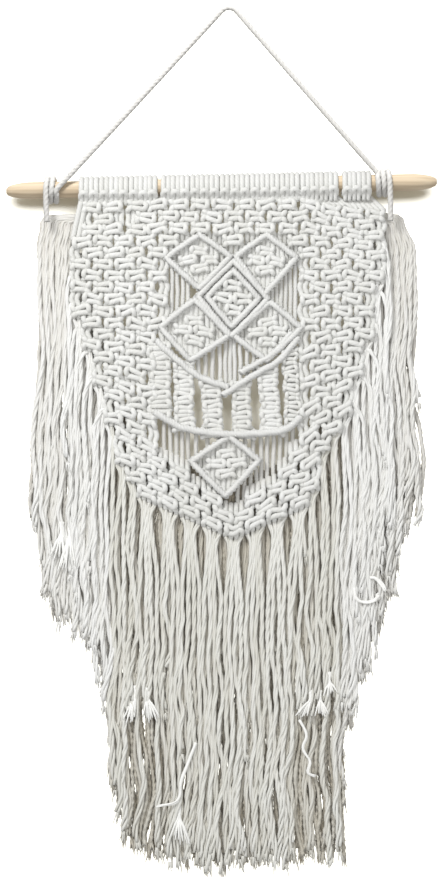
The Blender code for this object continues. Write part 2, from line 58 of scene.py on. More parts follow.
# Light
SOFT_LIGHT = 0.63  # the share of the studio's whole brightness that falls on the hanging
LAMPS = (
    # name, place and aim in metres, width, power, what it lights
    ("key", (-0.75, -1.2, 0.65), (0.0, 0.0, -0.35), 0.6, 20.0, "cords"),
    ("fill", (0.35, -2.4, -0.3), (0.0, 0.0, -0.4), 1.4, 11.0, "cords"),
    ("rod_key", (-0.2, -0.9, 1.0), (0.0, 0.0, -0.155), 0.35, 26.0, "rod"),
    ("back", (0.9, 2.2, 0.9), (0.0, 0.0, -0.4), 1.6, 8.0, "all"),
    ("backdrop_left", (-1.05, -1.95, 1.25), (0.0, 0.0, -0.8), 1.7, 190.0, "backdrop"),
    ("backdrop_right", (1.05, -1.95, 1.25), (0.0, 0.0, -0.8), 1.7, 190.0, "backdrop"),
)
WHITE = (1.0, 1.0, 1.0)
BACKDROP_LIGHT = (0.78, 0.84, 1.0)  # makes up for the backdrop's warm colour
UNDER_ROD_KEY = ("pine_rod", "hanger_cord_twisted")
SHADING_PIECES = (
    "pine_rod", "larks_heads", "net_left", "net_right", "hitched_bars", "diamond_fields",
    "sinnets", "free_cords",
)

# Stage, in metres
STAGE_REACH, BACKDROP_TOP, FLOOR_HEIGHT = 3.0, 1.2, -1.05
BACKDROP_DEPTH = 0.0128
BACKDROP_COLOUR = (0.67, 0.62, 0.49)
FLOOR_COLOUR = (0.86, 0.86, 0.85)

# Cotton
COTTONS = (
    # name, colour in the light, colour of the painted shade in the grooves, length of a turn, how deep
    # the plies show, how uneven it is, how much painted shade darkens it between the front and the back
    ("hanger_cotton", (0.67, 0.66, 0.64), (0.55, 0.535, 0.50), 12.0, 0.5, 0.4, 0.0),
    ("natural_cotton", (0.74, 0.742, 0.732), (0.60, 0.597, 0.56), 11.0, 0.6, 0.5, 0.4),
    ("fringe_cotton", (0.77, 0.77, 0.745), (0.59, 0.58, 0.52), 30.0, 0.3, 0.6, 0.85),
    ("side_cotton", (0.80, 0.80, 0.79), (0.68, 0.675, 0.64), 30.0, 0.3, 0.5, 0.5),
    ("combed_cotton", (0.90, 0.90, 0.88), (0.80, 0.795, 0.76), 30.0, 0.3, 0.4, 0.0),
)
COTTON_INPUTS = (
    # name, kind, first value
    ("Light", "NodeSocketColor", (0.8, 0.8, 0.76, 1.0)),
    ("Shaded", "NodeSocketColor", (0.6, 0.58, 0.5, 1.0)),
    ("Turn", "NodeSocketFloat", 11.0),
    ("Ply Depth", "NodeSocketFloat", 1.0),
    ("Uneven", "NodeSocketFloat", 0.5),
    # how much painted shade darkens a cord between its front and its back
    ("Depth Tint", "NodeSocketFloat", 0.4),
)
COTTON_OUTPUTS = (
    ("Color", "NodeSocketColor"),
    ("Height", "NodeSocketFloat"),
    ("Roughness", "NodeSocketFloat"),
)
PLIES = 3
FIBRES_ACROSS, FIBRES_ALONG = 6.0, 0.22  # how close the fibres lie, and how far they are drawn out
COTTON_NOISES = {
    # scale, detail
    "fibres": (1.6, 4.0),
    "fuzz": (1500.0, 3.0),
    "patches": (38.0, 2.0),
}
FIBRE_HEIGHT, FUZZ_HEIGHT = 0.35, 0.25  # beside a ply's 1
# The grooves' tint is painted shade between the plies
GROOVE_TINT, STRAND_TINT, FIBRE_TINT, WHOLE_TINT = 0.45, 0.8, 0.2, 0.75
COTTON_ROUGHNESS, FUZZ_ROUGHNESS = 0.82, 0.15
COTTON_BUMP, COTTON_BUMP_HEIGHT = 0.35, 0.0006
COTTON_SHEEN, COTTON_SHEEN_ROUGHNESS, COTTON_SPECULAR = 0.2, 0.5, 0.2
# Painted shade: cords between the front and the back darken and yellow towards this colour
RECESS_SHADE_COLOUR = (0.40, 0.35, 0.26)
SHADE_STARTS, SHADE_WHOLE = -4.0, 6.0  # the depths between which it grows
SHADE_KEPT, SHADE_FADED, SHADE_AT_BACK = 6.5, 9.5, 0.25  # the depths between which it fades to this share

# Pine
PINE_BANDS = ((0.47, 0.36, 0.235), (0.59, 0.465, 0.315))
PINE_STREAKS = (0.68, 0.58, 0.43)
GRAIN_STRETCH = (0.045, 1.0, 1.0)
GRAIN_SCALE, GRAIN_DETAIL = 420.0, 6.0
RINGS_SCALE, RINGS_DISTORTION, RINGS_DETAIL = 95.0, 5.0, 3.0
STREAK_SHARPNESS, STREAK_SHARE = 2.0, 1.1
PINE_BUMP, PINE_BUMP_HEIGHT = 0.25, 0.0004
PINE_ROUGHNESS, GRAIN_ROUGHNESS = 0.45, 0.25

# Tubes
SPAN_STEPS = 8  # points of the fine curve for each given one
TWIST_SHIFT = 50.0  # a cord's twist starts anywhere in this length
FIBRE_RADIUS, FIBRE_REACH = 0.1, 1.7
FIBRE_LEAST, FIBRE_MOST = (0, -1, 0.4), (TAU, 1, 1.2)  # angle round the cord, slant, length

# Rod
ROD_RADIUS, ROD_LENGTH = 7.5, 379.0
ROD_MIDDLE_ACROSS, ROD_MIDDLE_DROP = -6.5, 155.0
ROD_TILT = math.radians(1.2)
ROD_END = ((0.0, 2.2), (1.6, 4.0), (6.0, 5.6), (13.0, 6.9), (20.0, 7.5))  # (from the tip, radius)
ROD_SIDES, ROD_RINGS, ROD_STRAIGHT = 48, 40, 26  # its full rings begin this far from the tips
ROD_WANDER, ROD_WANDER_LENGTH = 0.12, 37.0  # how far its axis wanders, and how slowly
ROD_OVAL, ROD_OVAL_LENGTH = 0.004, 50.0  # how far it is out of round, as a share of its radius
ROD_UNEVEN, ROD_SEED = 0.03, 5

# Hanger cord
HANGER_CORD = 4.8  # its diameter; the knotted cords are 4 mm thick
WIND_STEPS = 12  # for each turn
LEFT_WIND_STEPS, RIGHT_WIND_STEPS = 24, 26
WIND_PITCH = 4.95
WIND_RADIUS = ROD_RADIUS + 0.3 + HANGER_CORD / 2
LEFT_WIND_ACROSS, RIGHT_WIND_ACROSS = -160.6, 140.9
LEFT_TAIL = ((-159.6, 187.0, -9.3), (-160.4, 173.0, -10.1))  # (across, drop, depth)
RIGHT_TAIL = ((141.7, 186.0, -9.4), (141.6, 171.0, -10.1))
HANGER_BEND = 9.0  # the radius in which it bends at the top
BEND_DEGREES = (-54, -27, 0, 27, 54)
LEG_STEPS, LEG_SAG = 10, 0.3
HANGER_STEP, HANGER_SIDES, HANGER_SEED = 1.6, 15, 21
HANGER_TUBE, HANGER_PLIES = 2.46, 0.06  # its mean radius, and the share by which its plies stand out
HANGER_TURN, HANGER_SHADE, HANGER_FIBRES = 14.0, 0.3, 1500

# Lark's heads on the rod
HEADS, HEADS_LEFT, HEADS_RIGHT = 29, -132.0, 124.4
LEGS_APART, HEAD_RADIUS = 4.42, 2.35
HEAD_GAPS = (
    # across, how wide: the heads on both sides are pushed apart, so that the rod shows
    (-61.3, 3.4),
    (97.9, 4.0),
)
GAP_REACH = 13.0  # the push fades over about this length
HEAD_STRAY, HEAD_SLIP, HEAD_SEED = 0.35, 0.5, 31
HEAD_LEG = ((1.9, 15.0, -4.4), (1.9, 10.0, -6.4), (2.0, 5.5, -8.2))  # (aside, below the axis, depth)
HEAD_LOOP = (-10, 20, 55, 90, 130, 175, 220, 258)  # degrees round the rod, from its front
LOOP_RADIUS, LOOP_SPREAD = 9.5, 0.005  # the legs spread so much for each degree past the top
HEAD_BIGHT = ((2.9, 9.4, -4.4), (2.8, 6.6, -9.2), (1.4, 4.4, -12.0))
BIGHT_BELOW, BIGHT_DEPTH = 4.0, -12.3
THIN_BELOW, THIN_DEPTH = 7.0, -8.5  # lower and deeper than this, the cord gets thinner
THINNING, MOST_THIN = 0.1, 6.0
HEAD_STEP = 2.2

# The net of square knots, in half pitches and rows
NET_MIDDLE, HALF_PITCH, ROW_PITCH = 4.0, 9.55, 10.34
FIRST_ROW_DROP, LEVEL_ROWS = 171.4, 9
V_SLOPE, V_REACH, STEEP_ROWS = 0.445, 110.0, 10  # the lower rows slant more and more into a V
SETTLE_ROWS = 6  # the rows that still follow the uneven top
FIRST_COLUMN = -14
NET_DEPTH, NET_ARCH, NET_STEP, NET_SEEDS = -2.8, 1.8, 2.0, (41, 42)
NET_TOP = (
    # across, how much lower the first row lies, how far back its cords come from the rod
    (-130.0, 3.0, 0.0),
    (-60.0, 0.0, 0.0),
    (70.0, 0.0, 0.0),
    (95.0, 6.0, 5.0),
    (130.0, 9.5, 8.5),
)
SLIT = (-10, 1)  # (column, row) of the knot that a slit leaves out
SLIT_OPENING, SLIT_ARCH = 1.3, -0.8
HEAD_FOOT = (11.0, -5.8)  # (below the axis, depth) where a head's leg goes on into the net
STRAND_COMES = ((-8.0, 1.5), (-4.0, 0.0))  # (down, depth) from behind, above a stretch of knots
STRAND_DIVES = ((5.0, -0.8), (11.0, 1.4))  # (down, depth) below a stretch of knots
STRAND_LEAVES = (2.0, -1.2)  # (down, depth) below the last knot
NET_ROWS = (
    # in half pitches from the middle: left outer, left inner, right inner and right outer knot, and
    # the last knot of a short stretch in the middle
    (13, None, None, 13, None),
    (12, None, None, 12, None),
    (13, None, None, 13, None),
    (14, 6, 6, 12, 0),
    (13, 7, 7, 13, None),
    (14, 8, 8, 12, None),
    (13, 7, 7, 13, None),
    (14, 8, 8, 12, None),
    (13, 7, 7, 11, None),
    (14, 8, 8, 12, None),
    (13, 7, 7, 11, None),
    (12, 8, 8, 12, None),
    (13, 7, 7, 11, None),
    (12, 8, 8, 10, None),
    (11, 9, 7, 11, None),
    (12, 8, 8, 10, None),
    (11, 9, 7, 9, None),
    (10, 8, 8, 10, None),
    (11, 9, 7, 9, None),
    (10, 8, 6, 8, None),
    (9, 5, 5, 7, None),
    (10, 2, 2, 6, None),
    (9, None, None, 7, None),
    (8, None, None, 6, None),
)

# One square knot seen from the front: (across, towards the viewer, down) in millimetres
KNOT_RADIUS = 2.4
OUTER, INNER, HALF_KNOT = 7.16, 2.39, 5.17
FRONT_WORKER = (
    (-7.16, 0.0, -5.17), (-7.2, 0.8, -4.2), (-5.4, 2.6, -3.3), (-2.8, 3.6, -2.75), (0.0, 3.9, -2.35),
    (3.2, 3.5, -1.95), (5.9, 2.3, -1.6), (7.1, 0.8, -0.9), (7.4, 0.3, 0.0), (7.1, 0.8, 0.9),
    (5.9, 2.3, 1.6), (3.2, 3.5, 1.95), (0.0, 3.9, 2.35), (-2.8, 3.6, 2.75), (-5.4, 2.6, 3.3),
    (-7.2, 0.8, 4.2), (-7.16, 0.0, 5.17),
)
BACK_WORKER = (
    (7.16, 0.0, -5.17), (7.4, 2.2, -4.1), (6.5, 4.3, -2.8), (5.0, 2.6, -1.3), (3.4, -1.6, -1.0),
    (0.0, -3.4, -1.4), (-3.4, -1.2, -1.8), (-5.2, 2.4, -2.7), (-6.5, 4.6, -1.8), (-6.9, 5.0, 0.0),
    (-6.5, 4.6, 1.8), (-5.2, 2.4, 2.7), (-3.4, -1.2, 1.8), (0.0, -3.4, 1.4), (3.4, -1.6, 1.0),
    (5.0, 2.6, 1.3), (6.5, 4.3, 2.8), (7.4, 2.2, 4.1), (7.16, 0.0, 5.17),
)
LEFT_FILLER = (
    (-2.39, 0.0, -5.17), (-2.0, -0.1, -2.8), (-1.9, -0.1, 0.0), (-2.0, -0.1, 2.8), (-2.39, 0.0, 5.17),
)
RIGHT_FILLER = tuple((-across, front, down) for across, front, down in LEFT_FILLER)
ROLES = (FRONT_WORKER, LEFT_FILLER, RIGHT_FILLER, BACK_WORKER)
KNOT_STRAY, KNOT_SLIP, KNOT_TURN = 1.1, 0.9, 0.4  # how far it strays across, down and round
KNOT_SPREAD, KNOT_OUT = 0.1, 0.8  # how much wider or narrower, and further out or in, it may be
KNOT_FLIP = 0.4  # the share of the knots that are tied the other way round
JITTER_SEED, FLIP_SEED = (97, 1009, 12345), (61, 733, 4242)  # (for a column, for a row, for all)
FIELD_COLUMNS = 31  # each diamond draws its knots' irregularities from so many columns further on
SAME_PLACE = 0.6  # points closer than this are one
KNOT_SIDES = 8

# The motif: diamonds (top, left, bottom, right), each a frame of hitches round four knots
DIAMONDS = (
    ((-26, 198), (-55, 218), (-26, 245), (1, 217)),
    ((33, 198), (6, 217), (31, 250), (59, 218)),
    ((4, 221), (-27, 252), (2, 287), (34, 254)),
    ((-30, 255), (-60, 279), (-34, 308), (0, 286)),
    ((36, 257), (4, 286), (33, 308), (63, 280)),
    ((0, 375), (-33, 397), (-3, 427), (26, 396)),
)
LONG_BARS = (
    # radius, places (across, drop)
    (2.9, ((-64, 291), (-45, 308), (-25, 323), (0, 332))),
    (2.9, ((61, 288), (44, 308), (29, 317), (14, 326), (-6, 339))),
    (2.5, ((55, 283), (40, 301), (26, 310), (10, 319))),
    (3.2, ((-66, 353), (-53, 361), (-38, 368), (-3, 373), (40, 371), (54, 366), (63, 357))),
)
BAR_DEPTH, FRAME_RADIUS = -8.4, 2.6
LONG_BARS_PROUD, EDGE_PROUD = 0.6, 0.25  # each edge of a frame lies so much over the one before
BAR_STEP, BAR_SIDES, BAR_PLIES, BAR_TURN, BAR_SHADE = 2.0, 12, 0.06, 9.0, 0.1
BAR_END_DIP = 1.3
BAR_STRAY_DOWN, BAR_STRAY_OUT = (0.22, 0.9), (0.25, 0.7)  # (how far, how quickly)
HITCH_PITCH, HITCH_RADIUS, HITCH_COIL, HITCH_DEPTH = 4.4, 1.7, 2.0, -5.0
HITCH_PROUD, HITCH_STEPS, HITCH_SIDES, HITCH_SHADE = 1.15, 8, 6, 0.4
HITCH_LINE_STEP = 0.5
FRAME_REACH, FRAME_BOW = 1.6, 0.02  # how far an edge runs past its corners and bows outwards
DOUBLE_FRAME = 2  # the number of the diamond whose frame is two cords wide
INNER_FRAME = 0.74  # its inner frame's share of the outer one
DIAMOND_KNOTS = {(0, 0), (-1, 1), (1, 1), (0, 2)}  # (column, row)
DIAMOND_STRANDS, DIAMOND_ROWS = 8, 3
DIAMOND_COLUMN, DIAMOND_ROW = 0.315, 0.33  # shares of a diamond's half width and half height
DIAMOND_DEPTH, DIAMOND_ARCH, DIAMOND_BORDER = NET_DEPTH + 0.2, 0.5, 4
DIAMOND_CORD_DEPTH = -3.2
FIELD_LEFT, FIELD_RIGHT, FIELD_PITCH, FIELD_STRAY = 3.0, 2.0, 4.2, 0.6  # the cords behind them
FIELD_END_DEPTH, FIELD_DEPTH, FIELD_STEP = -2.2, -0.9, 4.0
BARS_SEED, FIELDS_SEED = 51, 52
SINNETS = (
    # top across, top drop, bottom across, bottom drop, half width
    (-60, 292, -61, 359, 10.8),
    (-40, 309, -39, 370, 9.2),
    (-16, 325, -14, 376, 9.2),
    (10, 327, 13, 377, 8.9),
    (33, 313, 38, 374, 9.4),
    (53, 297, 57, 366, 7.4),
)
SINNET_PITCH, SINNET_DEPTH, SINNET_FLARE = 8.1, -2.2, 0.32
SINNET_MIDDLE, SINNET_EVEN, SINNET_FLARING = 0.45, 0.25, 0.3  # shares of its length
SINNET_CORD = 0.25  # a strand's radius is at most this share of a sinnet's half width
SINNET_STEP, SINNETS_SEED = 1.7, 61
FLOATS = (
    # first across, last across, how many, top drop first and last, bottom drop first and last, depth
    (-55, -36, 5, 219, 235, 275, 259, -1.2),
    (38, 58, 6, 244, 220, 259, 277, -1.2),
    (-27, -8, 4, 302, 290, 322, 331, -0.6),
    (-3, 5, 3, 287, 288, 334, 333, -1.2),
    (10, 28, 4, 290, 303, 329, 312, -0.6),
    (-57, -36, 5, 360, 369, 416, 424, 1.6),
    (-29, -9, 3, 372, 375, 395, 382, 1.0),
    (7, 21, 3, 375, 374, 381, 391, 1.0),
    (28, 56, 6, 373, 365, 424, 404, 1.6),
    (8, 24, 4, 418, 402, 446, 436, 2.0),
)
FLOAT_RADIUS, FLOAT_SIDES, FLOAT_PLIES, FLOAT_STEP = 2.05, 9, 0.06, 2.6
FLOAT_POINTS, FLOAT_STRAY, FLOAT_LIFT, FLOATS_SEED = 5, 0.5, 0.4, 71

# The fringe, in lanes side by side
LANE_PITCH, LANE_FIRST, LANE_LAST = 5.5, -167.0, 164.0
ROOTS = (
    # lane, root across, root drop
    (-167, -164, 183),
    (-141, -138, 187),
    (-135, -131, 250),
    (-127, -122, 296),
    (-118, -114, 326),
    (-109, -104, 358),
    (-104, -97, 384),
    (-94, -89, 401),
    (-84, -80, 422),
    (3, 3, 463),
    (68, 65, 435),
    (76, 71, 422),
    (86, 81, 396),
    (96, 90, 372),
    (104, 99, 350),
    (113, 107, 325),
    (122, 117, 295),
    (129, 124, 262),
    (136, 133, 205),
    (141, 137, 190),
    (164, 152, 181),
)
ENDS = (
    # lane, drop
    (-167, 462), (-162, 500), (-157, 530), (-143, 538), (-129, 551), (-121, 573), (-112, 590),
    (-106, 640), (-102, 692), (-95, 716), (-87, 737), (-69, 746), (-7, 754), (38, 752), (97, 747),
    (100, 700), (105, 640), (114, 598), (125, 551), (136, 531), (144, 514), (152, 468), (164, 432),
)
NET_LANES = (-112.0, 106.0)  # between these the front cords are the net's own, hanging on
SIDES = (-103.5, 99.8)  # where the fringe's three parts meet
WAVE, WAVE_LENGTH, WAVE_ACROSS = 1.7, 150.0, 38.0
RIPPLE, RIPPLE_LENGTH, RIPPLE_ACROSS = 0.35, 0.43, 1.7  # as shares of the wave's
BULGE = (
    # drop, how far the outermost cords stand out beyond their lanes
    (180.0, 0.0),
    (330.0, 0.5),
    (380.0, 4.0),
    (415.0, 7.0),
    (440.0, 8.0),
    (465.0, 3.0),
    (500.0, 0.0),
)
STRAYS = (
    # wavelength, how far a cord strays
    (120.0, 1.9),
    (58.0, 1.05),
    (27.0, 0.6),
)
FRINGE_LAYERS = (
    # share of a pitch, depth at the root, depth below, shorter by, radius, in loose yarns, only
    # beside the net's own cords
    (0.5, 8.4, 7.4, 10.0, 2.1, False, False),
    (0.25, 8.0, 6.0, 16.0, 2.1, False, False),
    (0.0, 7.6, 4.6, 3.0, 2.1, False, False),
    (0.5, 7.2, 2.6, 8.0, 2.1, False, False),
    (0.25, 2.6, -0.4, 0.0, 2.1, True, True),
    (0.75, 3.6, 1.0, 6.0, 2.1, True, False),
)
DEEP_LAYER, BEHIND_NET = 4.0, 42.0  # the deeper layers start so much higher, behind the net
HIGHEST_ROOT = 183.0
SHORTER = {
    # how many of a part's front cords are shorter than their lanes, by how much at least and at most
    "centre": (0.14, 50, 230),
    "left": (0.3, 15, 90),
    "right": (0.3, 15, 90),
}
UNEVEN_ENDS, SIDES_MORE_UNEVEN = (-9, 7), 1.7
BEND, BEND_SLOPE = 20.0, 0.55  # the bend from a root into its lane
INNER_LEFT, INNER_RIGHT = 121.0, 118.0  # how far out the cords' first points may lie
HANG_STEP, HANG_END = 9.0, 4.0
GROWN_FIRST, GROWN_RATE = 0.15, 1.2  # how much of its straying a cord has at its root, and gains
LANE_STRAY, OUT_STRAY = 1.5, 0.5
BULGE_POWER = 5
DEPTH_FADE = 45.0  # a cord comes from its root's depth to its own in about this length
STRAY_LENGTH, STRAY_REACH = (0.75, 1.3), (0.4, 1.3)
TWISTED_STEP, TWISTED_SIDES, TWISTED_PLIES, TWISTED_TURN = 6.0, 6, 0.08, (14, 22)
TWISTED_SWELL, TWISTED_QUICK = 0.08, (0.5, 1.1)
LOOSE_YARNS, LOOSE_RADIUS, LOOSE_STEP, LOOSE_SIDES, LOOSE_TURN = 3, 0.62, 5.0, 6, (30, 60)
YARNS_APART, YARNS_PART = 0.44, 0.5  # how far from the cord's middle, and how much more at its end
YARNS_EASE, EASE_LENGTH = 0.08, 17.0
FRAYED_YARNS, FRAYED_SIDES, FRAYED_STEP = 5, 5, 3.0
FRAYED_THICK, FRAYED_THIN = 1.0, 0.3
FRAYED_LENGTH, FRAYED_LENGTHS, FRAYED_SPREADS = 9.0, (0.5, 1.35), (0.2, 2.4)
FRAYED_ABOVE, FRAYED_INSIDE, FRAYED_STRAY = 5.0, 0.45, 0.5  # where they start within the cord
FRAYED_SHARES = (0.0, 0.4, 0.75, 1.0)
FRINGE_SEEDS = {
    # part, seeds of its back cords, its front cords and their frayed ends
    "left": (81, 85, 89),
    "centre": (82, 86, 90),
    "right": (83, 87, 91),
}
TUFTS_SEED = 93
NET_CORD_LANE = 0.985  # a net cord's lane, as a share of its place across
NET_CORD_START = ((-6.0, 0.4), (2.0, -1.4), (15.0, -2.2))  # (below the net's edge, depth)
GATHERED = 0.45  # how near the four cords below a knot stay to it
NET_CORD_DEPTH, NET_CORD_BEND, NET_CORD_RADIUS = -1.8, 42.0, 2.1
EDGE_CORD_START = ((0.0, 0.0, -2.4), (0.4, 2.0, -3.6))  # (share of the way to its lane, down, depth)
EDGE_CORD_DEPTH, EDGE_CORD_BEND, EDGE_CORD_RADIUS = -3.4, 14.0, 1.9
SHORT_SHARE = 0.7
SHORT_CORDS = (
    # first lane, last lane, drop where most of its front cords end
    (-93, -56, 618),
    (-48, -38, 726),
    (58, 92, 614),
)
EDGE_CORDS = (
    # edge across, edge drop, lane, length
    (-138, 232, -142, 200),
    (-137, 256, -140, 220),
    (-133, 279, -138, 215),
    (-124, 300, -133, 230),
    (-118, 321, -126, 205),
    (-108, 350, -118, 225),
    (134, 205, 140, 240),
    (133, 226, 139, 190),
    (133, 248, 139, 250),
    (126, 275, 134, 235),
    (120, 298, 131, 190),
    (113, 320, 125, 240),
    (104, 344, 117, 200),
)
FANS = (
    # across and drop of the tie, of its spread's left end and of its right end, yarns
    (-147, 456, -158, 482, -144, 483, 12),
    (-140, 458, -149, 491, -134, 492, 12),
    (-82, 600, -93, 625, -82, 627, 10),
    (-72, 602, -77, 624, -59, 626, 12),
    (72, 604, 58, 621, 70, 621, 8),
    (80, 604, 76, 621, 89, 620, 8),
    (88, 588, 84, 603, 95, 602, 7),
    (-44, 706, -52, 732, -33, 731, 10),
)
CURLS = (
    # yarns, spread, points (across, drop)
    (6, 1.4, ((110, 508), (112, 517), (119, 521), (128, 518), (131, 513))),
    (6, 1.4, ((124, 499), (129, 500), (134, 505), (137, 510))),
    (5, 0.9, ((62, 624), (68, 637), (65, 649), (71, 660), (69, 670), (76, 673))),
    (5, 0.8, ((-29, 644), (-36, 662), (-42, 678), (-43, 690), (-48, 697), (-63, 700))),
)
FAN_THICK, FAN_THIN, FAN_STEP, FAN_SIDES = 1.5, 0.6, 2.5, 5
FAN_STRAY, FAN_JITTER, FAN_OUT, FAN_REACH = 1.2, 0.4, (-7.4, -4.4), (0.75, 1.08)
FAN_TIE_DEPTH, FAN_BEND_DEPTH = -1.6, -2.8
CURL_THICK, CURL_THIN, CURL_STEP, CURL_SIDES = 1.25, 0.6, 2.0, 6
CURL_LOOSE, CURL_DEPTH, CURL_RISE = 0.3, -4.2, 2.6


# Places and paths


def metres(points):
    """Points (across, drop, depth) in millimetres as world coordinates in metres."""
    across, drop, depth = np.asarray(points, float)[:, :3].T
    return np.column_stack([across, depth, -drop]) * MM


def between(table, at, column=1):
    """A table's column at a place between its rows, whose first column grows."""
    rows = np.asarray(table, float)
    return float(np.interp(at, rows[:, 0], rows[:, column]))


def smooth_path(points, step):
    """Points about a step apart on a smooth curve through the given ones, with all their columns."""
    points = np.asarray(points, float)
    padded = np.vstack([2 * points[0] - points[1], points, 2 * points[-1] - points[-2]])
    share = np.linspace(0, 1, SPAN_STEPS + 1)[:-1, None]
    spans = []
    for a, b, c, d in zip(padded, padded[1:], padded[2:], padded[3:]):
        square = (2 * a - 5 * b + 4 * c - d) * share**2
        cube = (3 * b - a - 3 * c + d) * share**3
        spans.append((2 * b + (c - a) * share + square + cube) / 2)
    fine = np.vstack(spans + [points[-1:]])
    steps = np.linalg.norm(np.diff(fine[:, :3], axis=0), axis=1)
    along = np.concatenate([[0.0], np.cumsum(steps)])
    at = np.linspace(0, along[-1], max(3, round(along[-1] / step) + 1))
    return np.column_stack([np.interp(at, along, column) for column in fine.T])


def rod_drop(across):
    """The drop of the rod's axis."""
    return ROD_MIDDLE_DROP - (across - ROD_MIDDLE_ACROSS) * math.tan(ROD_TILT)


def net_point(column, row):
    """(across, drop) in the net, counted in half pitches and rows."""
    across = NET_MIDDLE + column * HALF_PITCH
    level = FIRST_ROW_DROP + row * ROW_PITCH
    settle = min(1.0, max(0.0, 1 - row / SETTLE_ROWS)) * between(NET_TOP, across)
    slope = V_SLOPE * min(1.0, max(0.0, (row - LEVEL_ROWS) / STEEP_ROWS))
    return across, level + settle + slope * (V_REACH - abs(across - NET_MIDDLE))


# Tubes


def tube_frames(path):
    """Two directions across a path at each of its points, which turn as little as they can."""
    ahead = np.gradient(path, axis=0)
    ahead /= np.maximum(np.linalg.norm(ahead, axis=1), 1e-12)[:, None]
    first = np.cross(ahead[0], (0.0, 1.0, 0.0))
    if np.linalg.norm(first) < 0.2:
        first = np.cross(ahead[0], (1.0, 0.0, 0.0))
    sides = np.empty_like(path)
    for number, direction in enumerate(ahead):
        first = first - direction * first.dot(direction)
        first = first / math.sqrt(first.dot(first))
        sides[number] = first
    return sides, np.cross(ahead, sides)


class Cords:
    """Gathers tubes, and makes one mesh of them with their lengths as a UV map."""

    def __init__(self, seed):
        self.random = np.random.default_rng(seed)
        self.points, self.faces, self.uvs, self.shades = [], [], [], []
        self.count = 0

    def add(self, path, radius, sides=8, plies=0.0, pitch=11.0, shade=None):
        """A tube along a path in millimetres; plies is how deep its twisted plies show."""
        place = metres(path)
        radius = np.broadcast_to(np.asarray(radius, float), len(place)) * MM
        side, over = tube_frames(place)
        steps = np.linalg.norm(np.diff(place, axis=0), axis=1)
        along = np.concatenate([[0.0], np.cumsum(steps)]) / MM + self.random.uniform(0, TWIST_SHIFT)
        angle = np.arange(sides) * TAU / sides
        turned = angle[None, :] + (TAU * along / pitch)[:, None] * (plies > 0)
        swell = 1 + plies * np.cos(PLIES * angle)[None, :] * np.ones((len(place), 1))
        reach = radius[:, None] * swell
        ring = side[:, None, :] * np.cos(turned)[..., None] + over[:, None, :] * np.sin(turned)[..., None]
        points = place[:, None, :] + ring * reach[..., None]
        rows, turn = np.arange(len(place) - 1)[:, None], np.arange(sides)[None, :]
        after = (turn + 1) % sides
        start = self.count
        quads = np.stack(
            [
                start + rows * sides + turn,
                start + rows * sides + after,
                start + (rows + 1) * sides + after,
                start + (rows + 1) * sides + turn,
            ],
            axis=-1,
        ).reshape(-1, 4)
        around = np.stack([turn, turn + 1, turn + 1, turn], axis=-1) / sides
        length = np.stack([along[:-1], along[:-1], along[1:], along[1:]], axis=-1)[:, None, :]
        uv = np.stack(np.broadcast_arrays(around, length), axis=-1).reshape(-1, 2)
        self.points.append(points.reshape(-1, 3))
        self.faces += quads.tolist()
        self.uvs.append(uv)
        last = start + (len(place) - 1) * sides
        self.faces.append(list(range(start + sides - 1, start - 1, -1)))
        self.faces.append(list(range(last, last + sides)))
        self.uvs.append(np.zeros((2 * sides, 2)))
        if shade is None:
            shade = self.random.uniform(0, 1)
        self.shades.append(np.full(len(place) * sides, shade))
        self.count += len(place) * sides

    def piece(self, name, material, slot, *nodes):
        """The finished piece, which stands for the CAD nodes named."""
        mesh = bpy.data.meshes.new(name)
        mesh.from_pydata(np.vstack(self.points), [], self.faces)
        layer = mesh.uv_layers.new(name="UVMap")
        layer.data.foreach_set("uv", np.vstack(self.uvs).astype(np.float32).ravel())
        shade = mesh.attributes.new("strand_shade", "FLOAT", "POINT")
        shade.data.foreach_set("value", np.concatenate(self.shades).astype(np.float32))
        mesh.shade_smooth()
        mesh.materials.append(material)
        return dress(bpy.data.objects.new(name, mesh), slot, *nodes)


def fuzz(cords, path, radius, count):
    """Fine fibres that stand off a cord: each rises slantwise, and then more steeply."""
    side, over = tube_frames(path)
    for _ in range(count):
        at = cords.random.integers(1, len(path) - 1)
        angle, slant, length = cords.random.uniform(FIBRE_LEAST, FIBRE_MOST)
        out = side[at] * math.cos(angle) + over[at] * math.sin(angle)
        ahead = path[at + 1] - path[at - 1]
        ahead = slant * ahead / np.linalg.norm(ahead)
        start = path[at] + 0.85 * radius * out
        middle = start + (0.55 * out + ahead) * 0.5 * FIBRE_REACH * length
        end = middle + (0.9 * out + 0.6 * ahead) * 0.5 * FIBRE_REACH * length
        cords.add(np.array([start, middle, end]), FIBRE_RADIUS, sides=3)


def dress(thing, slot, *nodes):
    """Puts a piece in the scene, on the part's one body and in the place of its CAD nodes."""
    bpy.context.scene.collection.objects.link(thing)
    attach(thing, "root")
    if nodes:
        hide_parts(*nodes)
    return thing


# Camera, light and stage


def make_camera():
    """The photograph's own view: level, from the front."""
    camera = bpy.data.objects.new("camera", bpy.data.cameras.new("camera"))
    bpy.context.scene.collection.objects.link(camera)
    camera.data.sensor_width = SENSOR
    camera.data.lens = SENSOR * VIEW_DISTANCE / (PHOTO_HEIGHT * PIXEL)
    camera.location = np.array([VIEW_ACROSS, -VIEW_DISTANCE, -VIEW_DROP]) * MM
    camera.rotation_euler = (math.pi / 2, 0.0, 0.0)
    camera.data.clip_end = CLIP_END
    bpy.context.scene.camera = camera


def add_lamp(name, place, aim, width, power, colour):
    """A soft round lamp that the camera doesn't see."""
    lamp = bpy.data.lights.new(name, "AREA")
    lamp.shape = "DISK"
    lamp.size = width
    lamp.energy = power
    lamp.color = colour
    thing = bpy.data.objects.new(name, lamp)
    bpy.context.scene.collection.objects.link(thing)
    thing.location = place
    thing.visible_camera = False
    direction = np.subtract(aim, place)
    flat = math.hypot(direction[0], direction[1])
    thing.rotation_euler = (
        math.pi / 2 + math.atan2(direction[2], flat),
        0.0,
        math.atan2(direction[1], direction[0]) - math.pi / 2,
    )
    return thing


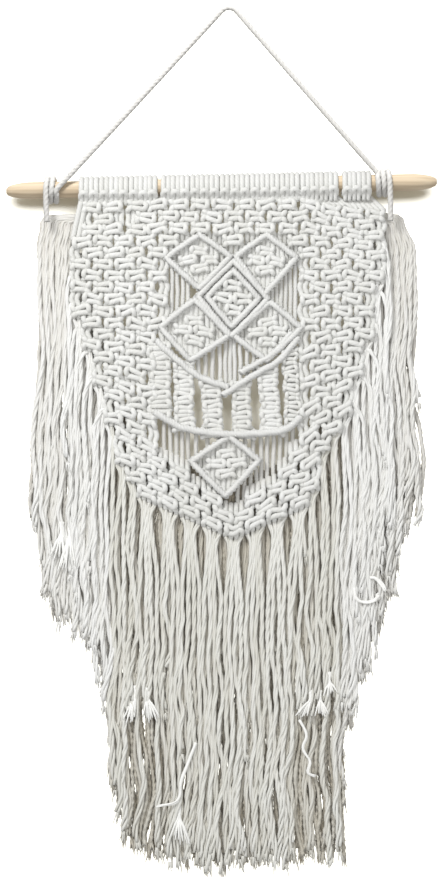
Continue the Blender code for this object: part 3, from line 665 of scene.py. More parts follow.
def only_on(lamp, things, shading=()):
    """Lets a lamp light only these things, and only those of the second list shade it."""
    lit = bpy.data.collections.new(lamp.name + "_lights")
    for thing in things:
        lit.objects.link(thing)
    lamp.light_linking.receiver_collection = lit
    if shading:
        between_them = bpy.data.collections.new(lamp.name + "_shading")
        for thing in shading:
            between_them.objects.link(thing)
        lamp.light_linking.blocker_collection = between_them


def make_light(backdrop):
    """Lamps for the cords, for the rod and its hanger and for the backdrop, in a white studio."""
    meshes = [thing for thing in bpy.data.objects if thing.type == "MESH" and thing != backdrop]
    shading = [thing for thing in meshes if thing.name in SHADING_PIECES]
    lit = {
        "rod": [thing for thing in meshes if thing.name in UNDER_ROD_KEY],
        "cords": [thing for thing in meshes if thing.name not in UNDER_ROD_KEY],
        "backdrop": [backdrop],
    }
    for name, place, aim, width, power, lights in LAMPS:
        on_backdrop = lights == "backdrop"
        lamp = add_lamp(name, place, aim, width, power, BACKDROP_LIGHT if on_backdrop else WHITE)
        if lights in lit:
            only_on(lamp, lit[lights], shading if on_backdrop else ())
    world = bpy.data.worlds.new("studio")
    bpy.context.scene.world = world
    world.use_nodes = True
    tree = world.node_tree
    tree.nodes["Background"].inputs["Color"].default_value = (*WHITE, 1.0)
    # The studio looks white, and lights the hanging with less than its whole brightness
    seen = tree.nodes.new("ShaderNodeLightPath").outputs["Is Camera Ray"]
    strength = math_node(tree, "MULTIPLY_ADD", seen, 1.0 - SOFT_LIGHT, SOFT_LIGHT)
    tree.links.new(strength, tree.nodes["Background"].inputs["Strength"])
    bpy.context.scene.view_settings.view_transform = "Standard"


def stage_material(name, colour):
    """Matt where it is looked at from the front; clear from behind, and to all other light."""
    material, tree, shader = new_material(name)
    shader.inputs["Base Color"].default_value = (*colour, 1.0)
    shader.inputs["Roughness"].default_value = 1.0
    shader.inputs["Specular IOR Level"].default_value = 0.0
    clear = tree.nodes.new("ShaderNodeBsdfTransparent")
    mix = tree.nodes.new("ShaderNodeMixShader")
    looked_at = tree.nodes.new("ShaderNodeLightPath").outputs["Is Camera Ray"]
    behind = tree.nodes.new("ShaderNodeNewGeometry").outputs["Backfacing"]
    elsewhere = math_node(tree, "SUBTRACT", 1.0, looked_at)
    tree.links.new(math_node(tree, "MAXIMUM", behind, elsewhere), mix.inputs["Fac"])
    tree.links.new(shader.outputs[0], mix.inputs[1])
    tree.links.new(clear.outputs[0], mix.inputs[2])
    tree.links.new(mix.outputs[0], tree.nodes["Material Output"].inputs["Surface"])
    return material


def make_sheet(name, colour, corners):
    """A flat part of the stage."""
    mesh = bpy.data.meshes.new(name)
    mesh.from_pydata(corners, [], [(0, 1, 2, 3)])
    mesh.materials.append(stage_material(name, colour))
    sheet = bpy.data.objects.new(name, mesh)
    bpy.context.scene.collection.objects.link(sheet)
    return sheet


def make_stage():
    """A pale warm backdrop close behind the hanging and a pale floor below it; gives the backdrop."""
    reach, floor, behind = STAGE_REACH, FLOOR_HEIGHT, BACKDROP_DEPTH
    low = ((-reach, behind, floor), (reach, behind, floor))
    high = ((reach, behind, BACKDROP_TOP), (-reach, behind, BACKDROP_TOP))
    front = ((-reach, -reach, floor), (reach, -reach, floor))
    back = ((reach, reach, floor), (-reach, reach, floor))
    make_sheet("floor", FLOOR_COLOUR, (*front, *back))
    return make_sheet("backdrop", BACKDROP_COLOUR, (*low, *high))


# Materials


def new_material(name):
    """A material with its node tree and its shader."""
    material = bpy.data.materials.new(name)
    material.use_nodes = True
    return material, material.node_tree, material.node_tree.nodes["Principled BSDF"]


def math_node(tree, operation, a, b=None, c=None):
    """A Math node on sockets or numbers; gives its output."""
    node = tree.nodes.new("ShaderNodeMath")
    node.operation = operation
    for socket, value in zip(node.inputs, (a, b, c)):
        if value is None:
            continue
        if isinstance(value, bpy.types.NodeSocket):
            tree.links.new(value, socket)
        else:
            socket.default_value = value
    return node.outputs[0]


def noise_node(tree, vector, scale, detail):
    """A Noise Texture; gives its output."""
    node = tree.nodes.new("ShaderNodeTexNoise")
    node.inputs["Scale"].default_value = scale
    node.inputs["Detail"].default_value = detail
    tree.links.new(vector, node.inputs["Vector"])
    return node.outputs["Fac"]


def range_node(tree, value, limits, ends=(0.0, 1.0)):
    """A value between two limits as a value between two ends; gives its output."""
    node = tree.nodes.new("ShaderNodeMapRange")
    node.inputs["From Min"].default_value, node.inputs["From Max"].default_value = limits
    node.inputs["To Min"].default_value, node.inputs["To Max"].default_value = ends
    tree.links.new(value, node.inputs["Value"])
    return node.outputs["Result"]


def mix_colour(tree, factor, a, b):
    """A mix of two colours, each a socket or a tuple; gives its output."""
    node = tree.nodes.new("ShaderNodeMix")
    node.data_type = "RGBA"
    tree.links.new(factor, node.inputs[0])
    for socket, value in ((node.inputs[6], a), (node.inputs[7], b)):
        if isinstance(value, bpy.types.NodeSocket):
            tree.links.new(value, socket)
        else:
            socket.default_value = (*value, 1.0)
    return node.outputs[2]


def twisted_cotton():
    """The node group that every cord's material shares: its colour, height and roughness."""
    group = bpy.data.node_groups.new("twisted_cotton", "ShaderNodeTree")
    for name, kind, value in COTTON_INPUTS:
        socket = group.interface.new_socket(name=name, in_out="INPUT", socket_type=kind)
        socket.default_value = value
    for name, kind in COTTON_OUTPUTS:
        group.interface.new_socket(name=name, in_out="OUTPUT", socket_type=kind)
    given = group.nodes.new("NodeGroupInput").outputs
    made = group.nodes.new("NodeGroupOutput").inputs

    def plus(a, b):
        return math_node(group, "ADD", a, b)

    def times(a, b):
        return math_node(group, "MULTIPLY", a, b)

    uv = group.nodes.new("ShaderNodeUVMap")
    uv.uv_map = "UVMap"
    parts = group.nodes.new("ShaderNodeSeparateXYZ")
    group.links.new(uv.outputs[0], parts.inputs[0])
    around, along = parts.outputs[0], parts.outputs[1]
    # The plies, as ridges that run slantwise round the cord
    turns = math_node(group, "DIVIDE", along, given["Turn"])
    phase = times(plus(around, turns), PLIES)
    wave_round = math_node(group, "SINE", times(phase, math.pi))
    ridge = math_node(group, "ABSOLUTE", wave_round)
    # Fibres, drawn out along the plies
    slant = group.nodes.new("ShaderNodeCombineXYZ")
    group.links.new(times(phase, FIBRES_ACROSS), slant.inputs[0])
    group.links.new(times(along, FIBRES_ALONG), slant.inputs[1])
    where = group.nodes.new("ShaderNodeTexCoord").outputs["Object"]
    fibres = noise_node(group, slant.outputs[0], *COTTON_NOISES["fibres"])
    fuzz = noise_node(group, where, *COTTON_NOISES["fuzz"])
    patches = noise_node(group, where, *COTTON_NOISES["patches"])
    strand = group.nodes.new("ShaderNodeAttribute")
    strand.attribute_name = "strand_shade"
    height = plus(times(ridge, given["Ply Depth"]), times(fibres, FIBRE_HEIGHT))
    height = plus(height, times(fuzz, FUZZ_HEIGHT))
    group.links.new(height, made["Height"])
    # Colour: grooves (painted shade), strands and patches are a little darker and yellower than the
    # ridges
    groove = times(math_node(group, "SUBTRACT", 1.0, ridge), given["Ply Depth"])
    tint = plus(times(groove, GROOVE_TINT), times(patches, given["Uneven"]))
    shade = times(strand.outputs["Fac"], given["Uneven"])
    tint = plus(tint, times(shade, STRAND_TINT))
    tint = plus(tint, times(fibres, FIBRE_TINT))
    tint = math_node(group, "MINIMUM", times(tint, WHOLE_TINT), 1.0)
    cord = mix_colour(group, tint, given["Light"], given["Shaded"])
    # Painted shade: a cord is darker and yellower between its front and its back, less so at the very
    # back
    place = group.nodes.new("ShaderNodeSeparateXYZ")
    group.links.new(where, place.inputs[0])
    depth = place.outputs[1]
    deep = range_node(group, depth, (SHADE_STARTS * MM, SHADE_WHOLE * MM))
    inside = range_node(group, depth, (SHADE_KEPT * MM, SHADE_FADED * MM), (1.0, SHADE_AT_BACK))
    recess_shade = times(times(deep, inside), given["Depth Tint"])
    group.links.new(mix_colour(group, recess_shade, cord, RECESS_SHADE_COLOUR), made["Color"])
    group.links.new(plus(COTTON_ROUGHNESS, times(fuzz, FUZZ_ROUGHNESS)), made["Roughness"])
    return group


def cotton(cords, name, light, shaded, turn, ply_depth, uneven, recess_shade):
    """A cotton cord's material, from a row of its table."""
    material, tree, shader = new_material(name)
    look = tree.nodes.new("ShaderNodeGroup")
    look.node_tree = cords
    look.inputs["Light"].default_value = (*light, 1.0)
    look.inputs["Shaded"].default_value = (*shaded, 1.0)
    look.inputs["Turn"].default_value = turn
    look.inputs["Ply Depth"].default_value = ply_depth
    look.inputs["Uneven"].default_value = uneven
    # the share of painted shade between the front and the back
    look.inputs["Depth Tint"].default_value = recess_shade
    bump = tree.nodes.new("ShaderNodeBump")
    bump.inputs["Strength"].default_value = COTTON_BUMP
    bump.inputs["Distance"].default_value = COTTON_BUMP_HEIGHT
    tree.links.new(look.outputs["Color"], shader.inputs["Base Color"])
    tree.links.new(look.outputs["Roughness"], shader.inputs["Roughness"])
    tree.links.new(look.outputs["Height"], bump.inputs["Height"])
    tree.links.new(bump.outputs["Normal"], shader.inputs["Normal"])
    shader.inputs["Sheen Weight"].default_value = COTTON_SHEEN
    shader.inputs["Sheen Roughness"].default_value = COTTON_SHEEN_ROUGHNESS
    shader.inputs["Specular IOR Level"].default_value = COTTON_SPECULAR
    return material


def pine():
    """Bare pine with its grain along the rod."""
    material, tree, shader = new_material("pine")
    where = tree.nodes.new("ShaderNodeTexCoord").outputs["Object"]
    stretch = tree.nodes.new("ShaderNodeMapping")
    stretch.inputs["Scale"].default_value = GRAIN_STRETCH
    tree.links.new(where, stretch.inputs["Vector"])
    grain = noise_node(tree, stretch.outputs[0], GRAIN_SCALE, GRAIN_DETAIL)
    rings = tree.nodes.new("ShaderNodeTexWave")
    rings.bands_direction = "Z"
    rings.inputs["Scale"].default_value = RINGS_SCALE
    rings.inputs["Distortion"].default_value = RINGS_DISTORTION
    rings.inputs["Detail"].default_value = RINGS_DETAIL
    tree.links.new(stretch.outputs[0], rings.inputs["Vector"])
    bands = mix_colour(tree, rings.outputs["Fac"], *PINE_BANDS)
    sharp = math_node(tree, "POWER", grain, STREAK_SHARPNESS)
    streaks = math_node(tree, "MULTIPLY", sharp, STREAK_SHARE)
    tree.links.new(mix_colour(tree, streaks, bands, PINE_STREAKS), shader.inputs["Base Color"])
    bump = tree.nodes.new("ShaderNodeBump")
    bump.inputs["Strength"].default_value = PINE_BUMP
    bump.inputs["Distance"].default_value = PINE_BUMP_HEIGHT
    tree.links.new(grain, bump.inputs["Height"])
    tree.links.new(bump.outputs["Normal"], shader.inputs["Normal"])
    grainy = math_node(tree, "MULTIPLY", grain, GRAIN_ROUGHNESS)
    tree.links.new(math_node(tree, "ADD", PINE_ROUGHNESS, grainy), shader.inputs["Roughness"])
    return material


# Rod


def make_rod(material):
    """A turned dowel: rings along its axis, a little out of round, with rounded ends."""
    sides, half = ROD_SIDES, ROD_LENGTH / 2
    straight = half - ROD_STRAIGHT
    left = [(-half + from_tip, radius) for from_tip, radius in ROD_END]
    middle = [(along, ROD_RADIUS) for along in np.linspace(-straight, straight, ROD_RINGS)]
    right = [(-along, radius) for along, radius in reversed(left)]
    profile = left + middle + right
    random = np.random.default_rng(ROD_SEED)
    angle = np.arange(sides) * TAU / sides
    points, faces = [], []
    for along, radius in profile:
        wander = ROD_WANDER * math.sin(along / ROD_WANDER_LENGTH)
        oval = 1 + ROD_OVAL * np.sin(2 * angle + along / ROD_OVAL_LENGTH)
        out = radius * oval + random.uniform(-ROD_UNEVEN, ROD_UNEVEN)
        middle_across = ROD_MIDDLE_ACROSS + along * math.cos(ROD_TILT)
        across = middle_across + np.zeros(sides)
        drop = rod_drop(middle_across) + wander + out * np.cos(angle)
        points.append(metres(np.column_stack([across, drop, out * np.sin(angle)])))
    for ring in range(len(profile) - 1):
        for side in range(sides):
            after = (side + 1) % sides
            a, b = ring * sides, (ring + 1) * sides
            faces.append((a + side, b + side, b + after, a + after))
    faces.append(tuple(range(sides)))
    last = (len(profile) - 1) * sides
    faces.append(tuple(range(last + sides - 1, last - 1, -1)))
    mesh = bpy.data.meshes.new("pine_rod")
    mesh.from_pydata(np.vstack(points), [], faces)
    mesh.shade_smooth()
    mesh.materials.append(material)
    dress(bpy.data.objects.new("pine_rod", mesh), "pine", "rod")


# Hanger cord


def wind(across, direction, steps):
    """Points round the rod from its front, up over the top, back to the front and so on."""
    points = []
    for step in range(steps + 1):
        turn = step / WIND_STEPS
        here = across + direction * WIND_PITCH * turn
        depth = -WIND_RADIUS * math.cos(TAU * turn)
        points.append((here, rod_drop(here) - WIND_RADIUS * math.sin(TAU * turn), depth))
    return points


def leg(start, end, steps):
    """The points strictly between two places on a straight, nearly taut stretch."""
    points = []
    for step in range(1, steps):
        share = step / steps
        across, drop, depth = (a + (b - a) * share for a, b in zip(start, end))
        points.append((across, drop + LEG_SAG * math.sin(math.pi * share), depth))
    return points


def hanger_route():
    """From the left tail, round the rod, over its bend, and round the rod to the right tail."""
    left = wind(LEFT_WIND_ACROSS, 1, LEFT_WIND_STEPS)
    right = wind(RIGHT_WIND_ACROSS, -1, RIGHT_WIND_STEPS)
    bend = []
    centre = HANGER_BEND - HANGER_CORD / 2
    for degrees in BEND_DEGREES:
        angle = math.radians(degrees)
        bend.append((HANGER_BEND * math.sin(angle), centre - HANGER_BEND * math.cos(angle), 0.0))
    route = list(LEFT_TAIL) + left
    route += leg(left[-1], bend[0], LEG_STEPS) + bend + leg(bend[-1], right[-1], LEG_STEPS)
    return route + right[::-1] + list(RIGHT_TAIL[::-1])


def make_hanger(material):
    """The one cord by which the hanging hangs."""
    path = smooth_path(hanger_route(), HANGER_STEP)
    cords = Cords(HANGER_SEED)
    cords.add(path, HANGER_TUBE, HANGER_SIDES, HANGER_PLIES, HANGER_TURN, HANGER_SHADE)
    fuzz(cords, path, HANGER_CORD / 2, HANGER_FIBRES)
    hanger = cords.piece("hanger_cord_twisted", material, "hanger_cotton", "hanger_cord")


# Lark's heads


def head_across(head):
    """Where a head sits along the rod: in an even row, but for the gaps."""
    pitch = (HEADS_RIGHT - HEADS_LEFT) / HEADS
    place = HEADS_LEFT + (head + 0.5) * pitch
    push = 0.0
    for gap, width in HEAD_GAPS:
        aside = place - gap
        push += math.copysign(width * math.exp(-(abs(aside) - pitch / 2) / GAP_REACH) / 2, aside)
    return place + push


def make_heads(material):
    """Each cord folded over the rod: up the front under its own bight, over, and round to the bight."""
    cords = Cords(HEAD_SEED)
    for head in range(HEADS):
        middle = head_across(head) + cords.random.uniform(-HEAD_STRAY, HEAD_STRAY)
        axis = rod_drop(middle)
        low = cords.random.uniform(-HEAD_SLIP, HEAD_SLIP)
        half = list(HEAD_LEG)
        for degrees in HEAD_LOOP:
            angle = math.radians(degrees)
            spread = LEGS_APART / 2 + LOOP_SPREAD * max(0, degrees - 90)
            half.append((spread, -LOOP_RADIUS * math.sin(angle), -LOOP_RADIUS * math.cos(angle)))
        half += [(aside, down + low, depth) for aside, down, depth in HEAD_BIGHT]
        left = [(middle - aside, axis + down, depth) for aside, down, depth in half]
        right = [(middle + aside, axis + down, depth) for aside, down, depth in half[::-1]]
        bight = (middle, axis + BIGHT_BELOW + low, BIGHT_DEPTH)
        path = smooth_path(left + [bight] + right, HEAD_STEP)
        below = np.maximum(0.0, path[:, 1] - axis - THIN_BELOW) * (path[:, 2] > THIN_DEPTH)
        cords.add(path, HEAD_RADIUS - THINNING * np.minimum(MOST_THIN, below), KNOT_SIDES)
    cords.piece("larks_heads", material, "natural_cotton")


# Net


def net_knots():
    """The set of (column, row) where the net has a knot."""
    knots = set()
    for row, (left, left_inner, right_inner, right, middle) in enumerate(NET_ROWS):
        for column in range(-left, right + 1):
            if (column + row) % 2 == 0 or (column, row) == SLIT:
                continue
            in_motif = left_inner is not None and -left_inner < column < right_inner
            in_middle = middle is not None and abs(column) <= middle
            if not in_motif or in_middle:
                knots.add((column, row))
    return knots


def runs_of(strand, knots, first_column, rows):
    """A strand's way through the knots: lists of (column, row, role) without a long gap."""
    column, role = first_column + strand // 2, strand % 2
    runs, run, missed = [], [], 0
    for row in range(rows):
        places = ((column, row, role), (column - 1, row, role + 2))
        here = [place for place in places if place[:2] in knots]
        if not here:
            missed += 1
            continue
        if missed > 1 and run:
            runs.append(run)
            run = []
        run.append(here[0])
        missed = 0
    return runs + [run] if run else runs


def knot_random(column, row, seed):
    """The random draws of one knot."""
    for_column, for_row, for_all = seed
    return np.random.default_rng(abs(column * for_column + row * for_row + for_all))


def knot_jitter(column, row):
    """How a knot differs: its place across and down, its turn, its width and how far it stands out."""
    random = knot_random(column, row, JITTER_SEED)
    scale = (KNOT_STRAY, KNOT_SLIP, KNOT_TURN, KNOT_SPREAD, KNOT_OUT)
    across, down, turn, spread, out = random.uniform(-1, 1, 5) * scale
    if abs(column - SLIT[0]) == 1 and abs(row - SLIT[1]) <= 1:
        across += (column - SLIT[0]) * SLIT_OPENING
    return across, down, turn, 1 + spread, out


def knot_line(column, row, role):
    """The line of one of a knot's four strands; some knots are tied the other way round."""
    flip = knot_random(column, row, FLIP_SEED).uniform() < KNOT_FLIP
    if (column >= 0) != flip:
        return ROLES[role]
    return [(-across, front, down) for across, front, down in ROLES[3 - role]]


def run_path(run, place, depth, arch, field=0):
    """The path of a strand through its knots; place(column, row) gives across and drop."""
    points = []
    for number, (column, row, role) in enumerate(run):
        aside, down_by, turn, wide, out = knot_jitter(column + FIELD_COLUMNS * field, row)
        if number and row - run[number - 1][1] > 1:
            # Past a missing knot the strand arches along the net's edge, and keeps clear of a slit
            outward = -1 if role < 2 else 1
            edge = OUTER if role in (0, 3) else INNER
            bulge = SLIT_ARCH if (column + outward, row - 1) == SLIT else arch
            over = outward * (edge + bulge) / HALF_PITCH
            points.append((*place(column + over, row - 1), depth))
        for across, front, down in knot_line(column, row, role):
            hold = 1 - (down / HALF_KNOT) ** 2
            across, down = (
                across * (1 + hold * (wide - 1)) + hold * (aside - turn * down),
                down + hold * (down_by + turn * across),
            )
            where = place(column + across / HALF_PITCH, row + down / ROW_PITCH)
            points.append((*where, depth - front - hold * out))
    # The end of one knot's stretch is the start of the next one's
    kept = [points[0]]
    for point in points[1:]:
        if math.dist(point, kept[-1]) > SAME_PLACE:
            kept.append(point)
    return kept


def make_net(material):
    """All the net's strands, from the rod down; gives where each leaves the net."""
    knots = net_knots()
    halves = [Cords(seed) for seed in NET_SEEDS]
    leaves = []
    for strand in range(2 * HEADS):
        runs = runs_of(strand, knots, FIRST_COLUMN, len(NET_ROWS))
        for number, run in enumerate(runs):
            path = run_path(run, net_point, NET_DEPTH, NET_ARCH)
            across, drop, depth = path[0]
            if number == 0:
                head = head_across(strand // 2) + (strand % 2 - 0.5) * LEGS_APART
                below, lies = HEAD_FOOT
                path.insert(0, (head, rod_drop(head) + below, lies + between(NET_TOP, across, 2)))
            else:
                path = [(across, drop + down, lies) for down, lies in STRAND_COMES] + path
            across, drop, depth = path[-1]
            if number < len(runs) - 1:
                path += [(across, drop + down, lies) for down, lies in STRAND_DIVES]
            else:
                down, lies = STRAND_LEAVES
                path.append((across, drop + down, lies))
                knot_across = net_point(run[-1][0], run[-1][1])[0]
                leaves.append((across, drop, knot_across))
            halves[strand // HEADS].add(smooth_path(path, NET_STEP), KNOT_RADIUS, KNOT_SIDES)
    halves[0].piece("net_left", material, "natural_cotton", "knotted_panel")
    halves[1].piece("net_right", material, "natural_cotton")
    return leaves


# Motif


def bar_cord(cords, points, radius, depth):
    """The smooth cord that shows along a bar, proud of the knots round it."""
    line = smooth_path([(across, drop, depth) for across, drop in points], BAR_STEP)
    line[:, 2] += BAR_END_DIP * np.linspace(-1, 1, len(line)) ** 4
    phase = cords.random.uniform(0, TAU, 2)
    for column, (reach, quick), start in zip((1, 2), (BAR_STRAY_DOWN, BAR_STRAY_OUT), phase):
        line[:, column] += reach * np.sin(np.arange(len(line)) * quick + start)
    cords.add(line, radius, BAR_SIDES, BAR_PLIES, BAR_TURN, BAR_SHADE)


def hitches(cords, points, phase):
    """Half hitches side by side under a bar's cord: a cord wound closely along its line."""
    line = smooth_path([(across, drop, HITCH_DEPTH) for across, drop in points], HITCH_LINE_STEP)
    steps = np.linalg.norm(np.diff(line, axis=0), axis=1)
    turns = np.concatenate([[0.0], np.cumsum(steps)]) / HITCH_PITCH
    ahead = np.gradient(line, axis=0)
    ahead /= np.linalg.norm(ahead, axis=1)[:, None]
    over = np.column_stack([ahead[:, 1], -ahead[:, 0], np.zeros(len(line))])
    at = np.linspace(0, turns[-1], max(HITCH_STEPS, int(turns[-1] * HITCH_STEPS)))
    spot = np.column_stack([np.interp(at, turns, column) for column in line.T])
    aside = np.column_stack([np.interp(at, turns, column) for column in over.T])
    angle = TAU * at + phase
    path = spot + aside * (HITCH_COIL * np.cos(angle))[:, None]
    path[:, 2] -= HITCH_COIL * HITCH_PROUD * np.sin(angle)
    cords.add(path, HITCH_RADIUS, HITCH_SIDES, shade=HITCH_SHADE)


def frame_edges(corners, scale):
    """The edges of a diamond scaled about its middle, each a little longer than its side."""
    middle = np.mean(corners, axis=0)
    places = [middle + (np.array(corner) - middle) * scale for corner in corners]
    edges = []
    for a, b in zip(places, places[1:] + places[:1]):
        ahead = (b - a) / np.linalg.norm(b - a)
        bow = ((a + b) / 2 - middle) * FRAME_BOW
        edges.append((a - ahead * FRAME_REACH, (a + b) / 2 + bow, b + ahead * FRAME_REACH))
    return edges


def diamond_place(corners):
    """The place function of a diamond's own small net of four knots."""
    top, left, bottom, right = corners
    middle_across = (left[0] + right[0] + top[0] + bottom[0]) / 4
    middle_drop = (left[1] + right[1] + top[1] + bottom[1]) / 4
    half_wide, half_high = (right[0] - left[0]) / 2, (bottom[1] - top[1]) / 2
    lean = (right[1] - left[1]) / (right[0] - left[0])

    def place(column, row):
        across = column * half_wide * DIAMOND_COLUMN
        drop = (row - 1) * half_high * DIAMOND_ROW
        return middle_across + across, middle_drop + drop + across * lean

    return place


def frame_drop(corners, across, lower):
    """The drop of a diamond's upper or lower bars at a place across."""
    top, left, bottom, right = corners
    ridge = bottom if lower else top
    return between((left, ridge, right), across)


def field_cords(cords, corners):
    """The cords that run down behind a diamond's knots, from its upper bars to its lower ones."""
    top, left, bottom, right = corners
    for across in np.arange(left[0] + FIELD_LEFT, right[0] - FIELD_RIGHT, FIELD_PITCH):
        stray, out = cords.random.uniform(-FIELD_STRAY, FIELD_STRAY, 2)
        high = frame_drop(corners, across, False)
        low = frame_drop(corners, across, True)
        path = [
            (across, high, FIELD_END_DEPTH),
            (across + stray, (high + low) / 2, FIELD_DEPTH + out),
            (across, low, FIELD_END_DEPTH),
        ]
        cords.add(smooth_path(path, FIELD_STEP), KNOT_RADIUS, KNOT_SIDES)


def diamond_knots(cords, corners, field):
    """The four knots in a diamond."""
    place = diamond_place(corners)
    left, right = corners[1][0] + DIAMOND_BORDER, corners[3][0] - DIAMOND_BORDER
    for strand in range(DIAMOND_STRANDS):
        for run in runs_of(strand, DIAMOND_KNOTS, -1, DIAMOND_ROWS):
            path = run_path(run, place, DIAMOND_DEPTH, DIAMOND_ARCH, field)
            above = min(max(path[0][0], left), right)
            below = min(max(path[-1][0], left), right)
            path.insert(0, (above, frame_drop(corners, above, False), DIAMOND_CORD_DEPTH))
            path.append((below, frame_drop(corners, below, True), DIAMOND_CORD_DEPTH))
            cords.add(smooth_path(path, NET_STEP), KNOT_RADIUS, KNOT_SIDES)


def make_motif(material):
    """The diamonds with their frames and fields, and the long bars."""
    bars, fields = Cords(BARS_SEED), Cords(FIELDS_SEED)
    for number, corners in enumerate(DIAMONDS):
        scales = (1.0, INNER_FRAME) if number == DOUBLE_FRAME else (1.0,)
        for scale in scales:
            for edge, points in enumerate(frame_edges(corners, scale)):
                bar_cord(bars, points, FRAME_RADIUS, BAR_DEPTH - EDGE_PROUD * edge)
                hitches(bars, points, number + edge)
        diamond_knots(fields, corners, number + 1)
        field_cords(fields, corners)
    for number, (radius, points) in enumerate(LONG_BARS):
        bar_cord(bars, points, radius, BAR_DEPTH - LONG_BARS_PROUD)
        hitches(bars, points, number)
    bars.piece("hitched_bars", material, "natural_cotton")
    fields.piece("diamond_fields", material, "natural_cotton")


def make_sinnets(material):
    """Bands of square knots, each tied below the one before, that flare towards both ends."""
    cords = Cords(SINNETS_SEED)
    for number, (top, top_drop, bottom, bottom_drop, half) in enumerate(SINNETS, -3):
        length = bottom_drop - top_drop
        count = round(length / SINNET_PITCH)
        pitch = HALF_PITCH * half / (OUTER + KNOT_RADIUS)

        def place(column, row):
            share = (row + 0.5) / count
            from_even = max(0.0, abs(share - SINNET_MIDDLE) - SINNET_EVEN)
            wider = 1 + SINNET_FLARE * from_even / SINNET_FLARING
            across = top + (bottom - top) * share + (column - number) * pitch * wider
            return across, top_drop + length * share

        for role in range(len(ROLES)):
            run = [(number, row, role) for row in range(count)]
            path = smooth_path(run_path(run, place, SINNET_DEPTH, 0.0), SINNET_STEP)
            cords.add(path, min(KNOT_RADIUS, half * SINNET_CORD), KNOT_SIDES)
    cords.piece("sinnets", material, "natural_cotton")


def make_floats(material):
    """Cords that run free from one bar to the next."""
    cords = Cords(FLOATS_SEED)
    for first, last, count, top_a, top_b, low_a, low_b, lies in FLOATS:
        for number in range(count):
            share = number / (count - 1)
            across = first + (last - first) * share
            top = top_a + (top_b - top_a) * share
            low = low_a + (low_b - low_a) * share
            path = []
            for step in np.linspace(0, 1, FLOAT_POINTS):
                stray = cords.random.uniform(-FLOAT_STRAY, FLOAT_STRAY)
                depth = lies + cords.random.uniform(-FLOAT_LIFT, FLOAT_LIFT)
                path.append((across + stray, top + (low - top) * step, depth))
            cords.add(smooth_path(path, FLOAT_STEP), FLOAT_RADIUS, FLOAT_SIDES, FLOAT_PLIES)
    cords.piece("free_cords", material, "natural_cotton")


# Fringe


def wave(across, drop):
    """How far the cords of the fringe stray sideways: neighbours stray together."""
    phase = across / WAVE_ACROSS
    slow = math.sin(TAU * drop / WAVE_LENGTH + phase)
    quick = math.sin(TAU * drop / (WAVE_LENGTH * RIPPLE_LENGTH) + RIPPLE_ACROSS * phase)
    return WAVE * (slow + RIPPLE * quick)


def hanging_path(random, start, lane, end_drop, depth, bend):
    """A cord that leaves its start, swings to its lane and hangs there, straying as it likes."""
    root_drop = start[-1][1]
    drops = np.append(np.arange(root_drop + bend, end_drop - HANG_END, HANG_STEP), end_drop)
    share = (drops - root_drop) / max(1.0, end_drop - root_drop)
    grown = np.minimum(1.0, GROWN_FIRST + GROWN_RATE * share)
    bulge = (lane / LANE_LAST) ** BULGE_POWER * np.interp(drops, *np.transpose(BULGE))
    across = lane + bulge + grown * random.uniform(-LANE_STRAY, LANE_STRAY)
    across = across + grown * np.array([wave(lane, drop) for drop in drops])
    out = depth + (start[-1][2] - depth) * np.exp((drops[0] - drops) / DEPTH_FADE)
    for length, reach in STRAYS:
        length = length * random.uniform(*STRAY_LENGTH)
        reach = reach * random.uniform(*STRAY_REACH)
        phase, turned = random.uniform(0, TAU, 2)
        across = across + grown * reach * np.sin(TAU * drops / length + phase)
        out = out + grown * OUT_STRAY * reach * np.sin(TAU * drops / length + turned)
    return [tuple(point) for point in start] + list(zip(across, drops, out))


def fray(cords, path, radius):
    """The untwisted end of a cord: a soft brush of thin yarns."""
    tip, before = np.array(path[-1]), np.array(path[-3])
    down = (tip - before) / np.linalg.norm(tip - before)
    for yarn in range(FRAYED_YARNS):
        angle = TAU * yarn / FRAYED_YARNS + cords.random.uniform(-FRAYED_STRAY, FRAYED_STRAY)
        length = FRAYED_LENGTH * cords.random.uniform(*FRAYED_LENGTHS)
        spread = cords.random.uniform(*FRAYED_SPREADS)
        aside = np.array([math.cos(angle), 0.2 * math.sin(angle), math.sin(angle)])
        start = tip - down * FRAYED_ABOVE + aside * radius * FRAYED_INSIDE
        points = []
        for share in FRAYED_SHARES:
            stray = cords.random.uniform(-FRAYED_STRAY, FRAYED_STRAY, 3) * share
            points.append(start + down * length * share + aside * spread * share + stray)
        brush = smooth_path(points, FRAYED_STEP)
        cords.add(brush, np.linspace(FRAYED_THICK, FRAYED_THIN, len(brush)), FRAYED_SIDES)


def loose_yarns(cords, path, radius, turn):
    """A cord as yarns that lie loosely round each other and part towards its end."""
    side, over = tube_frames(path)
    steps = np.linalg.norm(np.diff(path, axis=0), axis=1)
    along = np.concatenate([[0.0], np.cumsum(steps)])
    share = along / along[-1]
    phase = cords.random.uniform(0, TAU)
    shade = cords.random.uniform(0, 1)
    ease = YARNS_EASE * np.sin(along / EASE_LENGTH + phase)
    reach = radius * (YARNS_APART + ease + YARNS_PART * share**5)
    for yarn in range(LOOSE_YARNS):
        angle = TAU * (along / turn + yarn / LOOSE_YARNS) + phase
        shift = side * np.cos(angle)[:, None] + over * np.sin(angle)[:, None]
        line = path + shift * reach[:, None]
        line = line[: len(line) - cords.random.integers(0, 3)]
        cords.add(line, LOOSE_RADIUS * radius, LOOSE_SIDES, shade=shade)


def lane_part(lane):
    """The fringe's part to which a lane belongs."""
    return "left" if lane < SIDES[0] else "right" if lane > SIDES[1] else "centre"


